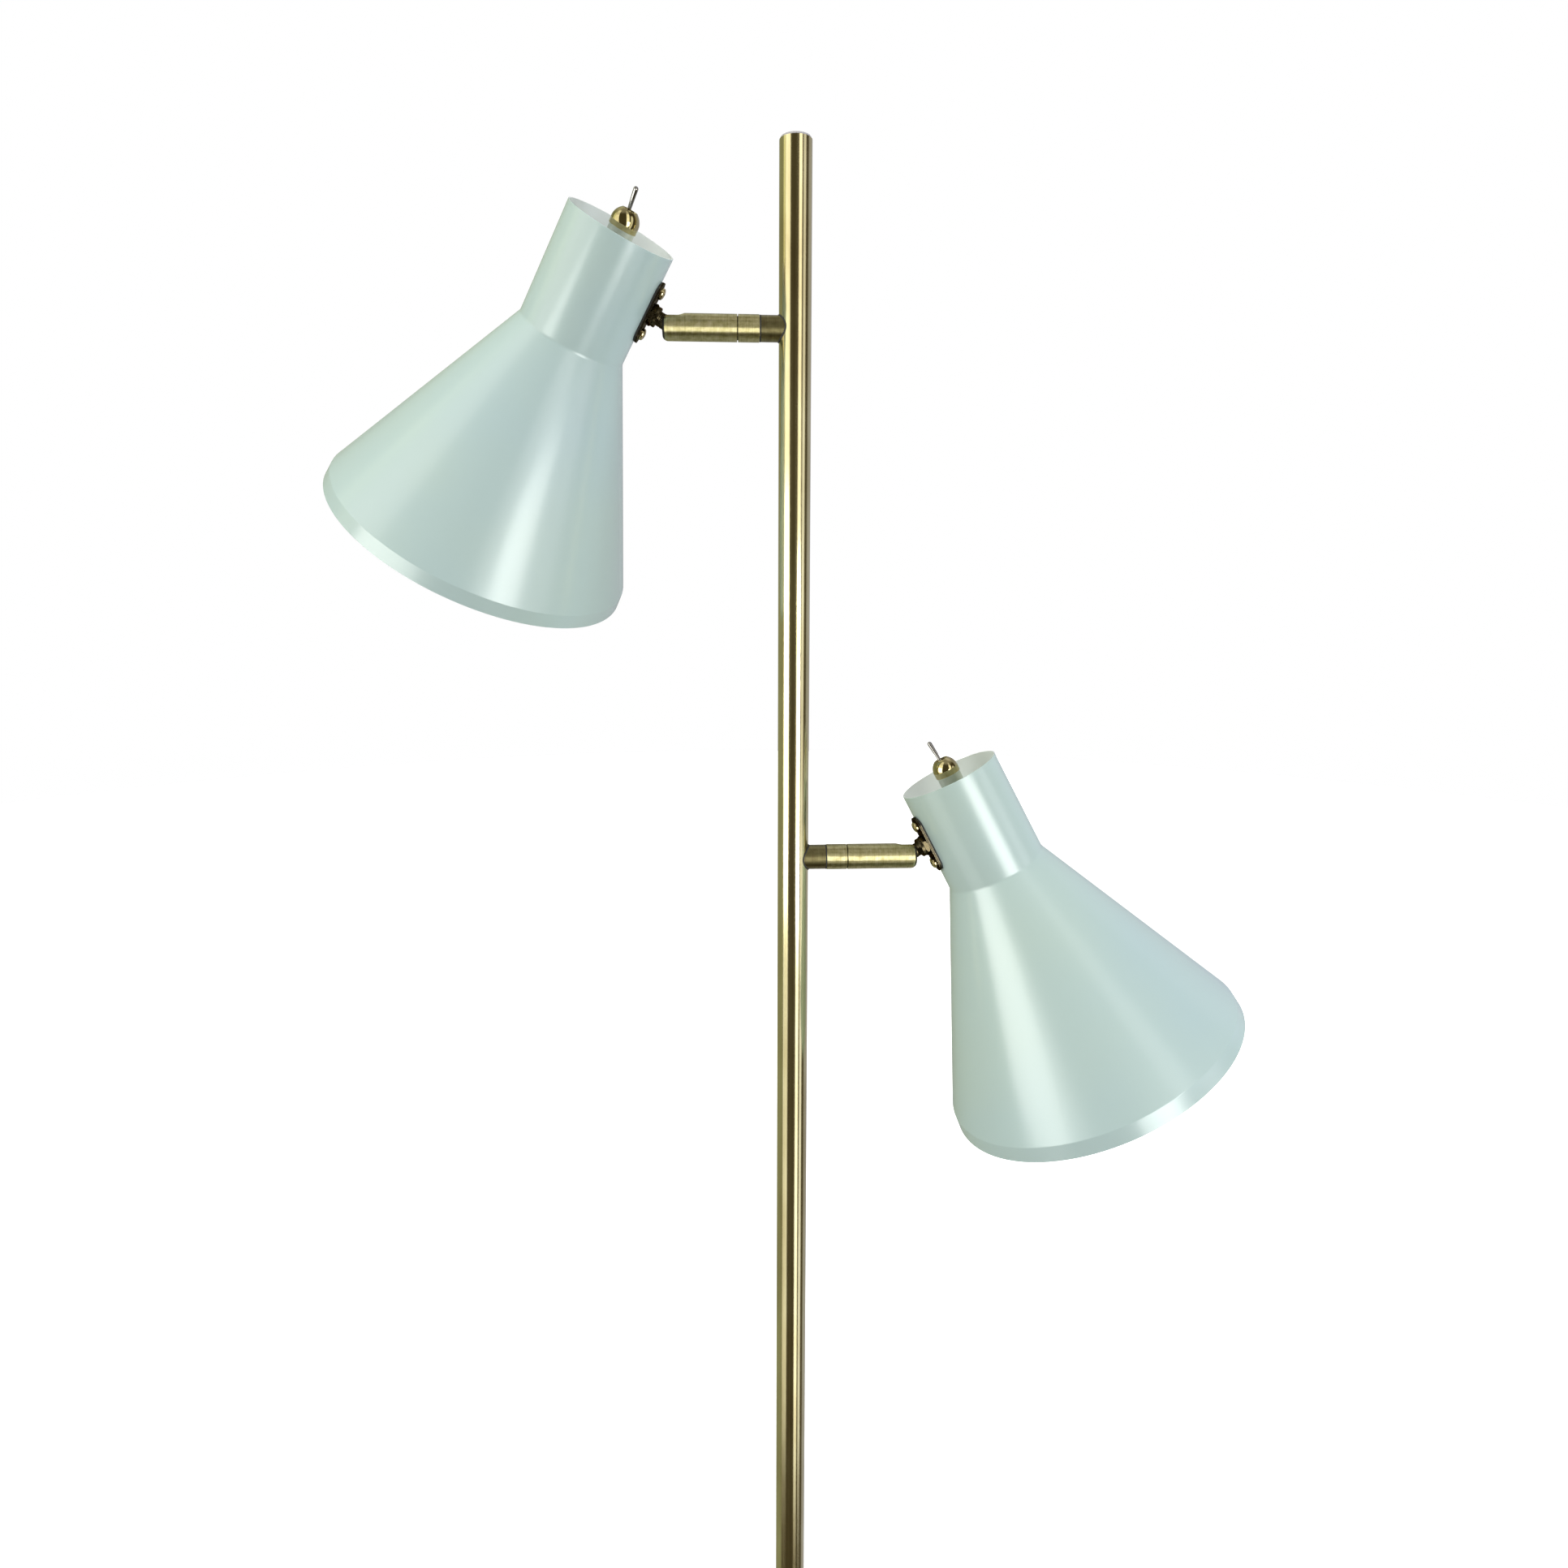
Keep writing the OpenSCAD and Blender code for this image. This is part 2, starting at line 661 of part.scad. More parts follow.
module bracket_gasket() {
    color(BLACK) difference() {
        stadium(gasket_x, neck_x + 1.5, plate_len - 0.6, plate_w - 0.6);
        translate([shade_x, 0, -40]) cylinder(r = neck_r + touch, h = 80, $fn = 180);
        bar(gasket_x - 1, neck_x + 3, stem_r + 0.5);
        for (s = [-1, 1]) translate([0, 0, s * screw_pitch / 2])
            bar(gasket_x - 1, neck_x + 3, screw_r + 0.2);
    }
}

module plate_screws() {
    head_r = screw_head_d / 2;
    head_x = plate_x - screw_head_h;
    color(BRASS) for (s = [-1, 1]) translate([0, 0, s * screw_pitch / 2]) rotate([s * 35, 0, 0])
        difference() {
            turned(concat([[head_x, 0]],
                          [for (i = [1 : 5]) [head_x + 1.6 * (1 - cos(18 * i)), head_r * sin(18 * i)]],
                          [[plate_x - touch, head_r], [plate_x - touch, screw_r],
                           [screw_end_x - 0.6, screw_r], [screw_end_x, screw_r - 0.6],
                           [screw_end_x, 0]]));
            for (a = [0, 90]) rotate([a, 0, 0])
                translate([head_x - 1, -2.4, -0.5]) cube([2.7, 4.8, 1]);
        }
}

// Spun shade: a straight neck that is open at the top, a cone and a short upright lip.
module shade() {
    outer = [[neck_r, 0], [neck_r, -neck_len], [crease_d / 2, -neck_len - cone_len],
             [lip_d / 2, -neck_len - cone_len - lip_len]];
    inner = shifted(outer, -shade_wall);
    joint_r = 5;
    crease_r = 2;
    edge = shade_wall / 2;
    outline = concat(
        [[neck_r - edge, 0.2], [neck_r - 0.15, 0.05]],
        rounded(outer[0], outer[1], outer[2], joint_r),
        rounded(outer[1], outer[2], outer[3], crease_r, 4),
        [outer[3], inner[3]],
        rounded(inner[3], inner[2], inner[1], crease_r - shade_wall, 4),
        rounded(inner[2], inner[1], inner[0], joint_r + shade_wall),
        [[inner[0][0] + 0.15, 0.05]]);
    color(MINT) difference() {
        translate([shade_x, 0, top_z - 0.2]) rotate_extrude($fn = 180) polygon(outline);
        bar(neck_x - 2, leg_x, stem_r + 0.5);
        for (s = [-1, 1]) translate([0, 0, s * screw_pitch / 2])
            bar(neck_x - 2, leg_x, screw_r + 0.2);
    }
}

// Pressed disc that closes the neck below its open top and carries the switch.
module shade_cap() {
    turn_up = 2;
    r = neck_in_r - touch;
    color(MINT) translate([shade_x, 0, 0]) rotate_extrude($fn = 180)
        polygon([[bushing_r + touch, cap_z - cap_t], [r - 0.6, cap_z - cap_t], [r, cap_z - cap_t + 0.6],
                 [r, cap_z + turn_up], [r - cap_t, cap_z + turn_up], [r - cap_t, cap_z],
                 [bushing_r + touch, cap_z]]);
}

// Bent steel strip: one leg lies inside the neck and takes the plate screws, and the
// shelf at its foot carries the lamp holder.
module holder_bracket() {
    shelf_end = shade_x + 14;
    color(STEEL) difference() {
        union() {
            translate([leg_x, -leg_w / 2, shelf_z]) cube([leg_t, leg_w, leg_top_z - shelf_z]);
            translate([leg_x, -leg_w / 2, shelf_z]) cube([shelf_end - leg_x - leg_w / 2, leg_w, shelf_t]);
            translate([shelf_end - leg_w / 2, 0, shelf_z]) cylinder(r = leg_w / 2, h = shelf_t, $fn = 48);
        }
        bar(leg_x - 1, leg_x + leg_t + 1, stem_r + 0.4);
        for (s = [-1, 1]) translate([0, 0, s * screw_pitch / 2])
            bar(leg_x - 1, leg_x + leg_t + 1, screw_r + touch);
        translate([shade_x, 0, shelf_z - 1]) cylinder(r = spigot_r_holder + touch, h = shelf_t + 2, $fn = 48);
    }
}

// Lamp holder with its threaded spigot through the shelf, and the nut above the shelf.
module lamp_holder() {
    floor_t = 6;
    skirt = 8;
    low = holder_top_z - holder_len;
    color(BLACK) translate([shade_x, 0, 0]) {
        rotate_extrude($fn = 72) polygon([
            [3, holder_top_z + 8], [spigot_r_holder, holder_top_z + 8],
            [spigot_r_holder, holder_top_z], [12, holder_top_z],
            [holder_r - 5, holder_top_z - 5], [holder_r - 5, low + skirt + 3],
            [holder_r, low + skirt], [holder_r, low], [holder_bore_r, low],
            [holder_bore_r, holder_top_z - holder_len + bulb_cap_len + 1],
            [3, holder_top_z - floor_t]]);
        translate([0, 0, shelf_z + shelf_t]) rotate([0, -90, 0])
            hex_nut(0, 4, 14, spigot_r_holder + touch);
    }
}

// Opal globe, blown thin, and the threaded cap that its neck is set in.
module bulb() {
    globe_z = glass_z - bulb_len + bulb_r;
    shoulder = 35;
    shoulder_z = globe_z + bulb_r * cos(shoulder);
    neck_z = glass_z + 6;
    outer = concat([[bulb_cap_r - 1.2, neck_z]],
        [for (i = [0 : 6]) let (t = i / 7, s = t * t * (3 - 2 * t))
            [bulb_cap_r + (bulb_r * sin(shoulder) - bulb_cap_r) * s,
             glass_z + (shoulder_z - glass_z) * t]],
        [for (i = [0 : 18]) let (a = shoulder + (180 - shoulder) * i / 18)
            [bulb_r * sin(a), globe_z + bulb_r * cos(a)]]);
    inner = [for (p = outer) let (s = 1 - 1 / norm([p[0], p[1] - globe_z]))
        [p[0] * s, p[1] == neck_z ? neck_z : globe_z + (p[1] - globe_z) * s]];
    color(WHITE) translate([shade_x, 0, 0]) {
        rotate_extrude($fn = 72) polygon(concat(outer, [for (i = [len(inner) - 1 : -1 : 0]) inner[i]]));
        rotate_extrude($fn = 72) polygon([
            [0, cap_contact_z], [4, cap_contact_z], [5, cap_contact_z - 2],
            [bulb_cap_r - 3, cap_contact_z - 4], [bulb_cap_r, cap_contact_z - 7],
            [bulb_cap_r, glass_z + touch], [bulb_cap_r - 1.2 + touch, glass_z + touch],
            [bulb_cap_r - 1.2 + touch, neck_z + touch], [0, neck_z + touch]]);
    }
}

module switch_body(clock) {
    color(BLACK) translate([shade_x, 0, 0]) rotate([0, 0, clock]) difference() {
        union() {
            translate([-switch_w / 2, -switch_l / 2, switch_top_z - switch_h])
                cube([switch_w, switch_l, switch_h - touch]);
            translate([0, 0, switch_top_z - 1])
                cylinder(r = bushing_r, h = top_z + bushing_top - switch_top_z + 1, $fn = 48);
            for (s = [-1, 1]) translate([-3, s * lug_y - 0.4, switch_top_z - switch_h - lug_len])
                cube([6, 0.8, lug_len + 1]);
        }
        translate([0, 0, top_z + pivot_h - 5]) cylinder(r = 3.4, h = 20, $fn = 48);
    }
}

module switch_collar() {
    color(MINT) translate([shade_x, 0, cap_z]) difference() {
        cylinder(r = switch_collar_d / 2, h = cap_depth, $fn = 64);
        translate([0, 0, -1]) cylinder(r = bushing_r + touch, h = cap_depth + 2, $fn = 48);
    }
}

module dome_nut() {
    straight = dome_h / 3;
    opening = 5;
    rise = (dome_h - straight) / sqrt(1 - pow(opening / (dome_d / 2), 2));
    color(BRASS) translate([shade_x, 0, top_z]) rotate_extrude($fn = 72) polygon(concat(
        [[bushing_r + touch, 0], [dome_d / 2 - 0.3, 0], [dome_d / 2, 0.3]],
        [for (i = [0 : 12]) let (z = (dome_h - straight) * sin(90 * i / 12))
            [dome_d / 2 * sqrt(1 - pow(z / rise, 2)), straight + z]],
        [[opening - 0.4, dome_h], [3.6, bushing_top + 1], [bushing_r + touch, bushing_top + 0.3]]));
}

// The lever stands at one end of its throw, leaning sideways in the head.
module toggle_lever(clock) {
    color(STEEL) translate([shade_x, 0, top_z + pivot_h])
        rotate([0, 0, clock]) rotate([-lever_throw, 0, 0]) {
            rotate_extrude($fn = 36) polygon(concat(
                [[0, -3], [lever_root_r, -3], [lever_root_r, lever_len * 0.3],
                 [lever_tip_r, lever_len - lever_tip_r]],
                [for (i = [1 : 5]) [lever_tip_r * cos(18 * i),
                 lever_len - lever_tip_r + lever_tip_r * sin(18 * i)]]));
            sphere(r = 2.4, $fn = 36);
        }
}

// The lead from the stem to one switch lug, and the one from the other lug down
// into the lamp holder.
module head_leads(clock) {
    lug_z = switch_top_z - switch_h - lug_len;
    out = [-sin(clock), cos(clock), 0];
    axis = [shade_x, 0, 0];
    color(BLACK) {
        wire(rounded_line([[2.5, 0, 0], [stem_end_x + 7, 0, 0],
                           axis + lug_y * out + [0, 0, lug_z - 4.3],
                           axis + lug_y * out + [0, 0, lug_z - 0.1]], [6, 2.5]),
             branch_r, [0, 1, 0]);
        wire(rounded_line([axis - (lug_y - 0.5) * out + [0, 0, lug_z + 2.1],
                           axis + [0, 0, lug_z + 2.1], axis + [0, 0, holder_top_z + 6.5]], [2.5]),
             branch_r, [1, 0, 0]);
    }
}

// ---------------------------------------------------------------- what is drawn

base_pad();
base_weight();
base_cover();
base_nut();
base_washer();
base_nipple();
cord_grommet();
pole_foot_insert();
pole_collar();
pole_lower();
pole_joiner();
pole_upper();
pole_end_cap();
pole_wiring();
connector_block();
arm_ferrules();
arm_nipples();
arm_pole_nuts();
arm_washers();
arm_lock_nuts();
upper_barrel() arm_ring();  // upper_arm_ring
upper_barrel() arm_barrel();  // upper_arm_barrel
upper_barrel() ball_spring();  // upper_ball_spring
upper_barrel() ball_seat();  // upper_ball_seat
upper_barrel() arm_lead();  // upper_arm_lead
upper_head() ball_stem();  // upper_ball_stem
upper_head() stem_nuts();  // upper_stem_nuts
upper_head() bracket_plate();  // upper_bracket_plate
upper_head() bracket_gasket();  // upper_bracket_gasket
upper_head() plate_screws();  // upper_plate_screws
upper_head() shade();  // upper_shade
upper_head() shade_cap();  // upper_shade_cap
upper_head() holder_bracket();  // upper_holder_bracket
upper_head() lamp_holder();  // upper_lamp_holder
upper_head() bulb();  // upper_bulb
upper_head() switch_body(upper_switch_clock);  // upper_switch_body
upper_head() switch_collar();  // upper_switch_collar
upper_head() dome_nut();  // upper_dome_nut
upper_head() head_leads(upper_switch_clock);  // upper_head_leads
upper_head() toggle_lever(upper_switch_clock);  // upper_toggle_lever
lower_barrel() arm_ring();  // lower_arm_ring
lower_barrel() arm_barrel();  // lower_arm_barrel
lower_barrel() ball_spring();  // lower_ball_spring
lower_barrel() ball_seat();  // lower_ball_seat
lower_barrel() arm_lead();  // lower_arm_lead
lower_head() ball_stem();  // lower_ball_stem
lower_head() stem_nuts();  // lower_stem_nuts
lower_head() bracket_plate();  // lower_bracket_plate
lower_head() bracket_gasket();  // lower_bracket_gasket
lower_head() plate_screws();  // lower_plate_screws
lower_head() shade();  // lower_shade
lower_head() shade_cap();  // lower_shade_cap
lower_head() holder_bracket();  // lower_holder_bracket
lower_head() lamp_holder();  // lower_lamp_holder
lower_head() bulb();  // lower_bulb
lower_head() switch_body(lower_switch_clock);  // lower_switch_body
lower_head() switch_collar();  // lower_switch_collar
lower_head() dome_nut();  // lower_dome_nut
lower_head() head_leads(lower_switch_clock);  // lower_head_leads
lower_head() toggle_lever(lower_switch_clock);  // lower_toggle_lever
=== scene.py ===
# %% [markdown]
# # A two-head floor lamp
#
# The real lamp is a brass tube standing on a heavy round foot.  Two short brass arms
# stick out of it on opposite sides, and each arm ends in a ball joint that carries a
# spun metal spot head painted pale mint.  The shapes all come ready made from the
# engineering model, in metres and already in place, so this lesson is about what makes
# a correct shape look real: finishes, small details, light and the camera.

import math

import bmesh
import bpy
from mathutils import Matrix, Vector


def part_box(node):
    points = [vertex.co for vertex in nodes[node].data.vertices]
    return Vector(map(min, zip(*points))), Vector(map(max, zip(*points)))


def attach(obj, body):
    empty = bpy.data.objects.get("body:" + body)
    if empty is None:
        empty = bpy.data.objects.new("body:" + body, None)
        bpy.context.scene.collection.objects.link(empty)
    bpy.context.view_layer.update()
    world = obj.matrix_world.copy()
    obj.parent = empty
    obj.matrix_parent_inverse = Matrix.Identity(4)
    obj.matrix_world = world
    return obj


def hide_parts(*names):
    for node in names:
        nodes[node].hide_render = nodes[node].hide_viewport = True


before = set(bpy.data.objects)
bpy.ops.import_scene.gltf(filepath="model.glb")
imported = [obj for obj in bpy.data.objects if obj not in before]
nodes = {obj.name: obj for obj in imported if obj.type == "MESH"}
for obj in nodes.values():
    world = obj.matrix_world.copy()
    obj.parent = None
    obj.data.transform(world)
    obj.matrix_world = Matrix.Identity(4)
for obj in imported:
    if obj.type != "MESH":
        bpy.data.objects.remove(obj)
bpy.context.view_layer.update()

# %% [markdown]
# ## The camera
#
# A photograph fixes four things: where the camera stood, where it pointed, how it was
# rolled, and how wide it saw.  They could be found by eye, sliding a camera about until
# it looks right, but that never quite ends.  Here they were worked out once from edges
# measured on the picture: the tube, the rims of the shades and the ends of the arms.
# The lens stands close to the lamp, a little above its middle, and looks slightly down.
# The picture was cropped lower than the lens axis, and the small shift puts that back.

# %% Set up the camera
camera_place = Vector((-0.045142, -0.687194, 1.217438))
pitch_down = math.radians(6.806)
turn_right = math.radians(3.197)
roll = math.radians(0.177)
SENSOR_WIDTH = 36
LENS_TO_SENSOR = 0.62998
CROP_SHIFT = -0.05971

forward = Vector((math.sin(turn_right) * math.cos(pitch_down),
                  math.cos(turn_right) * math.cos(pitch_down), -math.sin(pitch_down)))
level_right = Vector((math.cos(turn_right), -math.sin(turn_right), 0))
level_up = level_right.cross(forward)
right = level_right * math.cos(roll) + level_up * math.sin(roll)
up = level_up * math.cos(roll) - level_right * math.sin(roll)

lens = bpy.data.cameras.new("photo_lens")
lens.sensor_width = SENSOR_WIDTH
lens.lens = SENSOR_WIDTH * LENS_TO_SENSOR
lens.shift_y = CROP_SHIFT
camera = bpy.data.objects.new("photo_camera", lens)
looking_axes = Matrix((right, up, -forward)).transposed().to_4x4()
camera.matrix_world = Matrix.Translation(camera_place) @ looking_axes
bpy.context.scene.collection.objects.link(camera)
bpy.context.scene.camera = camera
print("lens", round(lens.lens, 2), "mm, standing", round(camera_place.length, 3),
      "m from the foot")

# %% [markdown]
# ## Patterns for the finishes
#
# A finish in Blender is a little circuit of nodes.  Writing each node out takes four or
# five lines, so the same few steps are put in helpers.  `wire` makes one node and sets
# or connects its inputs, and `blotches` gives a soft random pattern at a stated scale.
# `shades_of` turns such a pattern into colours, `between` turns it into a number from
# low to high, and `nudged` shifts one pattern a little by another.  Patterns are read in
# the part's own metres, so they stay on the metal when a joint moves.

# %% Helpers for patterns
def wire(tree, kind, inputs=None, **settings):
    made = tree.nodes.new(kind)
    for name, value in settings.items():
        setattr(made, name, value)
    for name, value in (inputs or {}).items():
        if isinstance(value, bpy.types.NodeSocket):
            tree.links.new(value, made.inputs[name])
        else:
            made.inputs[name].default_value = value
    return made


def blotches(tree, per_metre, detail=3, roughness=0.5):
    place = wire(tree, "ShaderNodeTexCoord").outputs["Object"]
    scaled = wire(tree, "ShaderNodeMapping", {"Vector": place, "Scale": per_metre})
    noise = wire(tree, "ShaderNodeTexNoise", {"Vector": scaled.outputs[0], "Scale": 1.0,
                                              "Detail": detail, "Roughness": roughness})
    return noise.outputs["Fac"]


def shades_of(tree, pattern, *stops):
    ramp = wire(tree, "ShaderNodeValToRGB", {"Fac": pattern})
    while len(ramp.color_ramp.elements) < len(stops):
        ramp.color_ramp.elements.new(0.5)
    for element, (position, colour) in zip(ramp.color_ramp.elements, stops):
        element.position = position
        element.color = (*colour, 1)
    return ramp.outputs["Color"]


def between(tree, pattern, low, high, start=0.3, end=0.7):
    return wire(tree, "ShaderNodeMapRange", {"Value": pattern, "From Min": start, "From Max": end,
                                             "To Min": low, "To Max": high}).outputs["Result"]


def nudged(tree, pattern, by, how_far):
    shift = between(tree, by, -how_far, how_far)
    return wire(tree, "ShaderNodeMath", {0: pattern, 1: shift}, operation="ADD").outputs[0]


print("pattern helpers ready")

# %% [markdown]
# ## Starting and connecting a finish
#
# Every finish starts from Blender's Principled shader.  What is the same all over the
# surface is typed into the shader's own sockets, and what varies is wired to them.  The
# height pattern could really move the surface, but lines a few hundredths of a
# millimetre deep only need a bump, which tilts the light and leaves the mesh alone.

# %% Helpers for the shader
def new_finish(name, **fixed):
    made = bpy.data.materials.new(name)
    made.use_nodes = True
    shader = made.node_tree.nodes["Principled BSDF"]
    for socket, value in fixed.items():
        shader.inputs[socket.replace("_", " ")].default_value = value
    return made, made.node_tree, shader


def connect(tree, shader, colour, roughness, height=None, depth=0.00004, strength=0.3):
    tree.links.new(colour, shader.inputs["Base Color"])
    tree.links.new(roughness, shader.inputs["Roughness"])
    if height is not None:
        bump = wire(tree, "ShaderNodeBump",
                    {"Height": height, "Distance": depth, "Strength": strength})
        tree.links.new(bump.outputs[0], shader.inputs["Normal"])


print("shader helpers ready")

# %% [markdown]
# ## Drawn brass for the pole
#
# The pole is brass tube, polished along its length and then aged with acid, which turns
# it olive and brown in soft patches and leaves it fairly shiny.  The polish shows as
# hair lines that run up the tube.  They could be an image of scratches, but an image
# needs unwrapping and repeats.  Noise that is squeezed sideways and stretched upwards
# makes the same lines anywhere on the tube and drives roughness and bump, and coarser
# streaks of the same kind nudge the soft patches of colour.

# %% Drawn brass
FRESH = (0.66, 0.60, 0.37)
AGED = (0.56, 0.49, 0.28)
BROWNED = (0.42, 0.34, 0.18)
HAIR_LINES = (2400, 2400, 7)
STREAKS = (620, 620, 2.2)
PATINA = (60, 60, 11)


def drawn_brass(name, dull=(0.12, 0.2)):
    made, tree, shader = new_finish(name, Metallic=1.0)
    hair_lines = blotches(tree, HAIR_LINES, detail=2)
    streaks = blotches(tree, STREAKS, detail=3)
    patina = blotches(tree, PATINA, detail=4, roughness=0.6)
    mixed = nudged(tree, patina, streaks, how_far=0.12)
    colour = shades_of(tree, mixed, (0.32, FRESH), (0.55, AGED), (0.8, BROWNED))
    connect(tree, shader, colour, between(tree, hair_lines, *dull), hair_lines,
            depth=0.00003, strength=0.15)
    return made


pole_brass = drawn_brass("drawn_antique_brass")
print(pole_brass.name, len(pole_brass.node_tree.nodes), "nodes")

# %% [markdown]
# ## Turned brass for the arms
#
# The rings and barrels were finished in a lathe with a fine abrasive, so their lines run
# round the arm instead of along it, and they look satin rather than shiny.  Lines that
# run one way spread a reflection the other way.  That is anisotropy: the shader is told
# which way the lines run by a tangent that circles the arm, and the highlight then
# smears along the barrel but stays narrow across it.

# %% Turned brass
ROUND_THE_ARM = (5200, 50, 50)
ROUND_THE_FOOT = (40, 40, 3000)
WEAR = (260, 260, 260)
QUARTER_TURN = 0.25


def turned_brass(name, colours, dull=(0.29, 0.37), axis="X", lines=ROUND_THE_ARM, brushed=1.0):
    made, tree, shader = new_finish(name, Metallic=1.0, Anisotropic=brushed,
                                    Anisotropic_Rotation=QUARTER_TURN)
    lathe_lines = blotches(tree, lines, detail=3, roughness=0.65)
    wear = blotches(tree, WEAR, detail=4, roughness=0.6)
    mixed = nudged(tree, wear, lathe_lines, how_far=0.2)
    colour = shades_of(tree, mixed, (0.3, colours[0]), (0.55, colours[1]), (0.85, colours[2]))
    connect(tree, shader, colour, between(tree, lathe_lines, *dull), lathe_lines, strength=0.35)
    around = wire(tree, "ShaderNodeTangent", direction_type="RADIAL", axis=axis)
    tree.links.new(around.outputs[0], shader.inputs["Tangent"])
    return made


barrel_brass = turned_brass("turned_antique_brass",
                            ((0.59, 0.54, 0.31), (0.45, 0.405, 0.205), (0.27, 0.23, 0.09)))
ferrule_brass = turned_brass("browned_brass",
                             ((0.25, 0.225, 0.105), (0.20, 0.172, 0.08), (0.13, 0.10, 0.048)),
                             brushed=0.6)
foot_brass = turned_brass("turned_foot_brass", (FRESH, AGED, BROWNED), axis="Z",
                          lines=ROUND_THE_FOOT)
print("turned brass:", barrel_brass.name, ferrule_brass.name, foot_brass.name)

# %% [markdown]
# ## Dark brass for the ball joints
#
# The stems, nuts and bracket plates were dipped longer, so they are nearly chocolate
# brown, and the high edges have been rubbed back to metal by hands and spanners.  The
# rubbing could be painted by hand.  A Bevel node does it by itself: it softens the
# surface direction close to an edge, and where the soft direction and the true one
# disagree there must be an edge, so brighter brass is shown there.  Bare metal turns
# pale when it is seen nearly flat along its surface.  The acid skin on the stems and
# plates keeps them dark even then, and the specular tint is what says so.

# %% Dark brass with rubbed edges
UNTINTED = (1, 1, 1)
ACID_SKIN = (0.35, 0.3, 0.2)
SPECKS = (900, 900, 900)
SHARP_EDGE = 0.80
NO_EDGE = 0.985


def rubbed_brass(name, dark, mid, bright, dull, edge=0.0005, seen_flat=UNTINTED):
    made, tree, shader = new_finish(name, Metallic=1.0, Specular_Tint=(*seen_flat, 1))
    specks = blotches(tree, SPECKS, detail=3, roughness=0.6)
    base = shades_of(tree, specks, (0.35, dark), (0.7, mid))
    soft = wire(tree, "ShaderNodeBevel", {"Radius": edge}, samples=4)
    true = wire(tree, "ShaderNodeNewGeometry")
    agree = wire(tree, "ShaderNodeVectorMath", {0: soft.outputs[0], 1: true.outputs["Normal"]},
                 operation="DOT_PRODUCT")
    at_edge = between(tree, agree.outputs["Value"], 1.0, 0.0, SHARP_EDGE, NO_EDGE)
    worn = wire(tree, "ShaderNodeMath", {0: at_edge, 1: between(tree, specks, 0.35, 1.0)},
                operation="MULTIPLY")
    colour = wire(tree, "ShaderNodeMix", {"Factor": worn.outputs[0], "A": base, "B": (*bright, 1)},
                  data_type="RGBA").outputs["Result"]
    connect(tree, shader, colour, between(tree, specks, *dull), specks)
    return made


stem_brass = rubbed_brass("dark_dipped_brass",
                          (0.045, 0.036, 0.02), (0.085, 0.07, 0.038), (0.34, 0.30, 0.17),
                          dull=(0.2, 0.34), edge=0.00018, seen_flat=ACID_SKIN)
plate_brass = rubbed_brass("dark_plate_brass",
                           (0.03, 0.025, 0.015), (0.052, 0.043, 0.026), (0.58, 0.53, 0.35),
                           dull=(0.26, 0.42), edge=0.0002, seen_flat=ACID_SKIN)
screw_brass = rubbed_brass("screw_brass",
                           (0.42, 0.34, 0.17), (0.62, 0.52, 0.28), (0.85, 0.74, 0.45),
                           dull=(0.14, 0.24))
print("dark brass:", stem_brass.name, plate_brass.name, screw_brass.name)

# %% [markdown]
# ## Mint paint
#
# The heads are sprayed with a pale mint enamel that has a little pearl in it.  It is
# satin, so lights show as wide soft bands with no hard edge, and the sprayed film has a
# faint ripple that makers call orange peel.  One flat green would look like plastic, so
# the colour drifts slightly between a warmer and a cooler mint, a thin clear coat adds a
# tighter glint on the creases, and very fine noise gives the ripple.

# %% Mint paint and the white inside
COLOUR_DRIFT = (7, 7, 7)
ORANGE_PEEL = (420, 420, 420)


def sprayed_paint(name, warm, cool, dull, **fixed):
    made, tree, shader = new_finish(name, **fixed)
    drift = blotches(tree, COLOUR_DRIFT, detail=2)
    peel = blotches(tree, ORANGE_PEEL, detail=1, roughness=0.4)
    colour = shades_of(tree, drift, (0.35, warm), (0.65, cool))
    connect(tree, shader, colour, between(tree, peel, *dull), peel, depth=0.00006, strength=0.06)
    return made


mint_paint = sprayed_paint("mint_pearl_paint",
                           (0.435, 0.55, 0.525), (0.415, 0.535, 0.55), (0.235, 0.265),
                           Specular_IOR_Level=0.55, Coat_Weight=0.25, Coat_Roughness=0.16)
inside_white = sprayed_paint("inside_white_paint",
                             (0.715, 0.76, 0.735), (0.705, 0.745, 0.745), (0.42, 0.5))
print("paints:", mint_paint.name, inside_white.name)

# %% [markdown]
# ## Bright little parts
#
# The switch shows three kinds of brightness: a polished brass dome nut, a pale nickel
# collar under it, and a chromed lever.  Each is nearly a mirror, and a mirror is only
# believable if it is not perfect.  A breath of fine haze and a trace of tarnish on each
# are enough to break up the reflections.

# %% Dome nut, collar and lever
HAZE = (4000, 4000, 4000)
TARNISH = (220, 220, 220)


def bright_metal(name, colour_a, colour_b, dull, ripple=0.1):
    made, tree, shader = new_finish(name, Metallic=1.0)
    haze = blotches(tree, HAZE, detail=3)
    tarnish = blotches(tree, TARNISH, detail=3)
    colour = shades_of(tree, tarnish, (0.35, colour_a), (0.7, colour_b))
    connect(tree, shader, colour, between(tree, haze, *dull), haze, depth=0.00002, strength=ripple)
    return made


dome_brass = bright_metal("polished_brass", (0.52, 0.45, 0.24), (0.38, 0.32, 0.15), (0.04, 0.08))
collar_nickel = bright_metal("pale_nickel", (0.66, 0.68, 0.60), (0.54, 0.57, 0.50), (0.05, 0.10))
lever_chrome = bright_metal("lever_chrome", (0.36, 0.35, 0.34), (0.29, 0.28, 0.27), (0.14, 0.18),
                            ripple=0.02)
print("bright metals:", dome_brass.name, collar_nickel.name, lever_chrome.name)

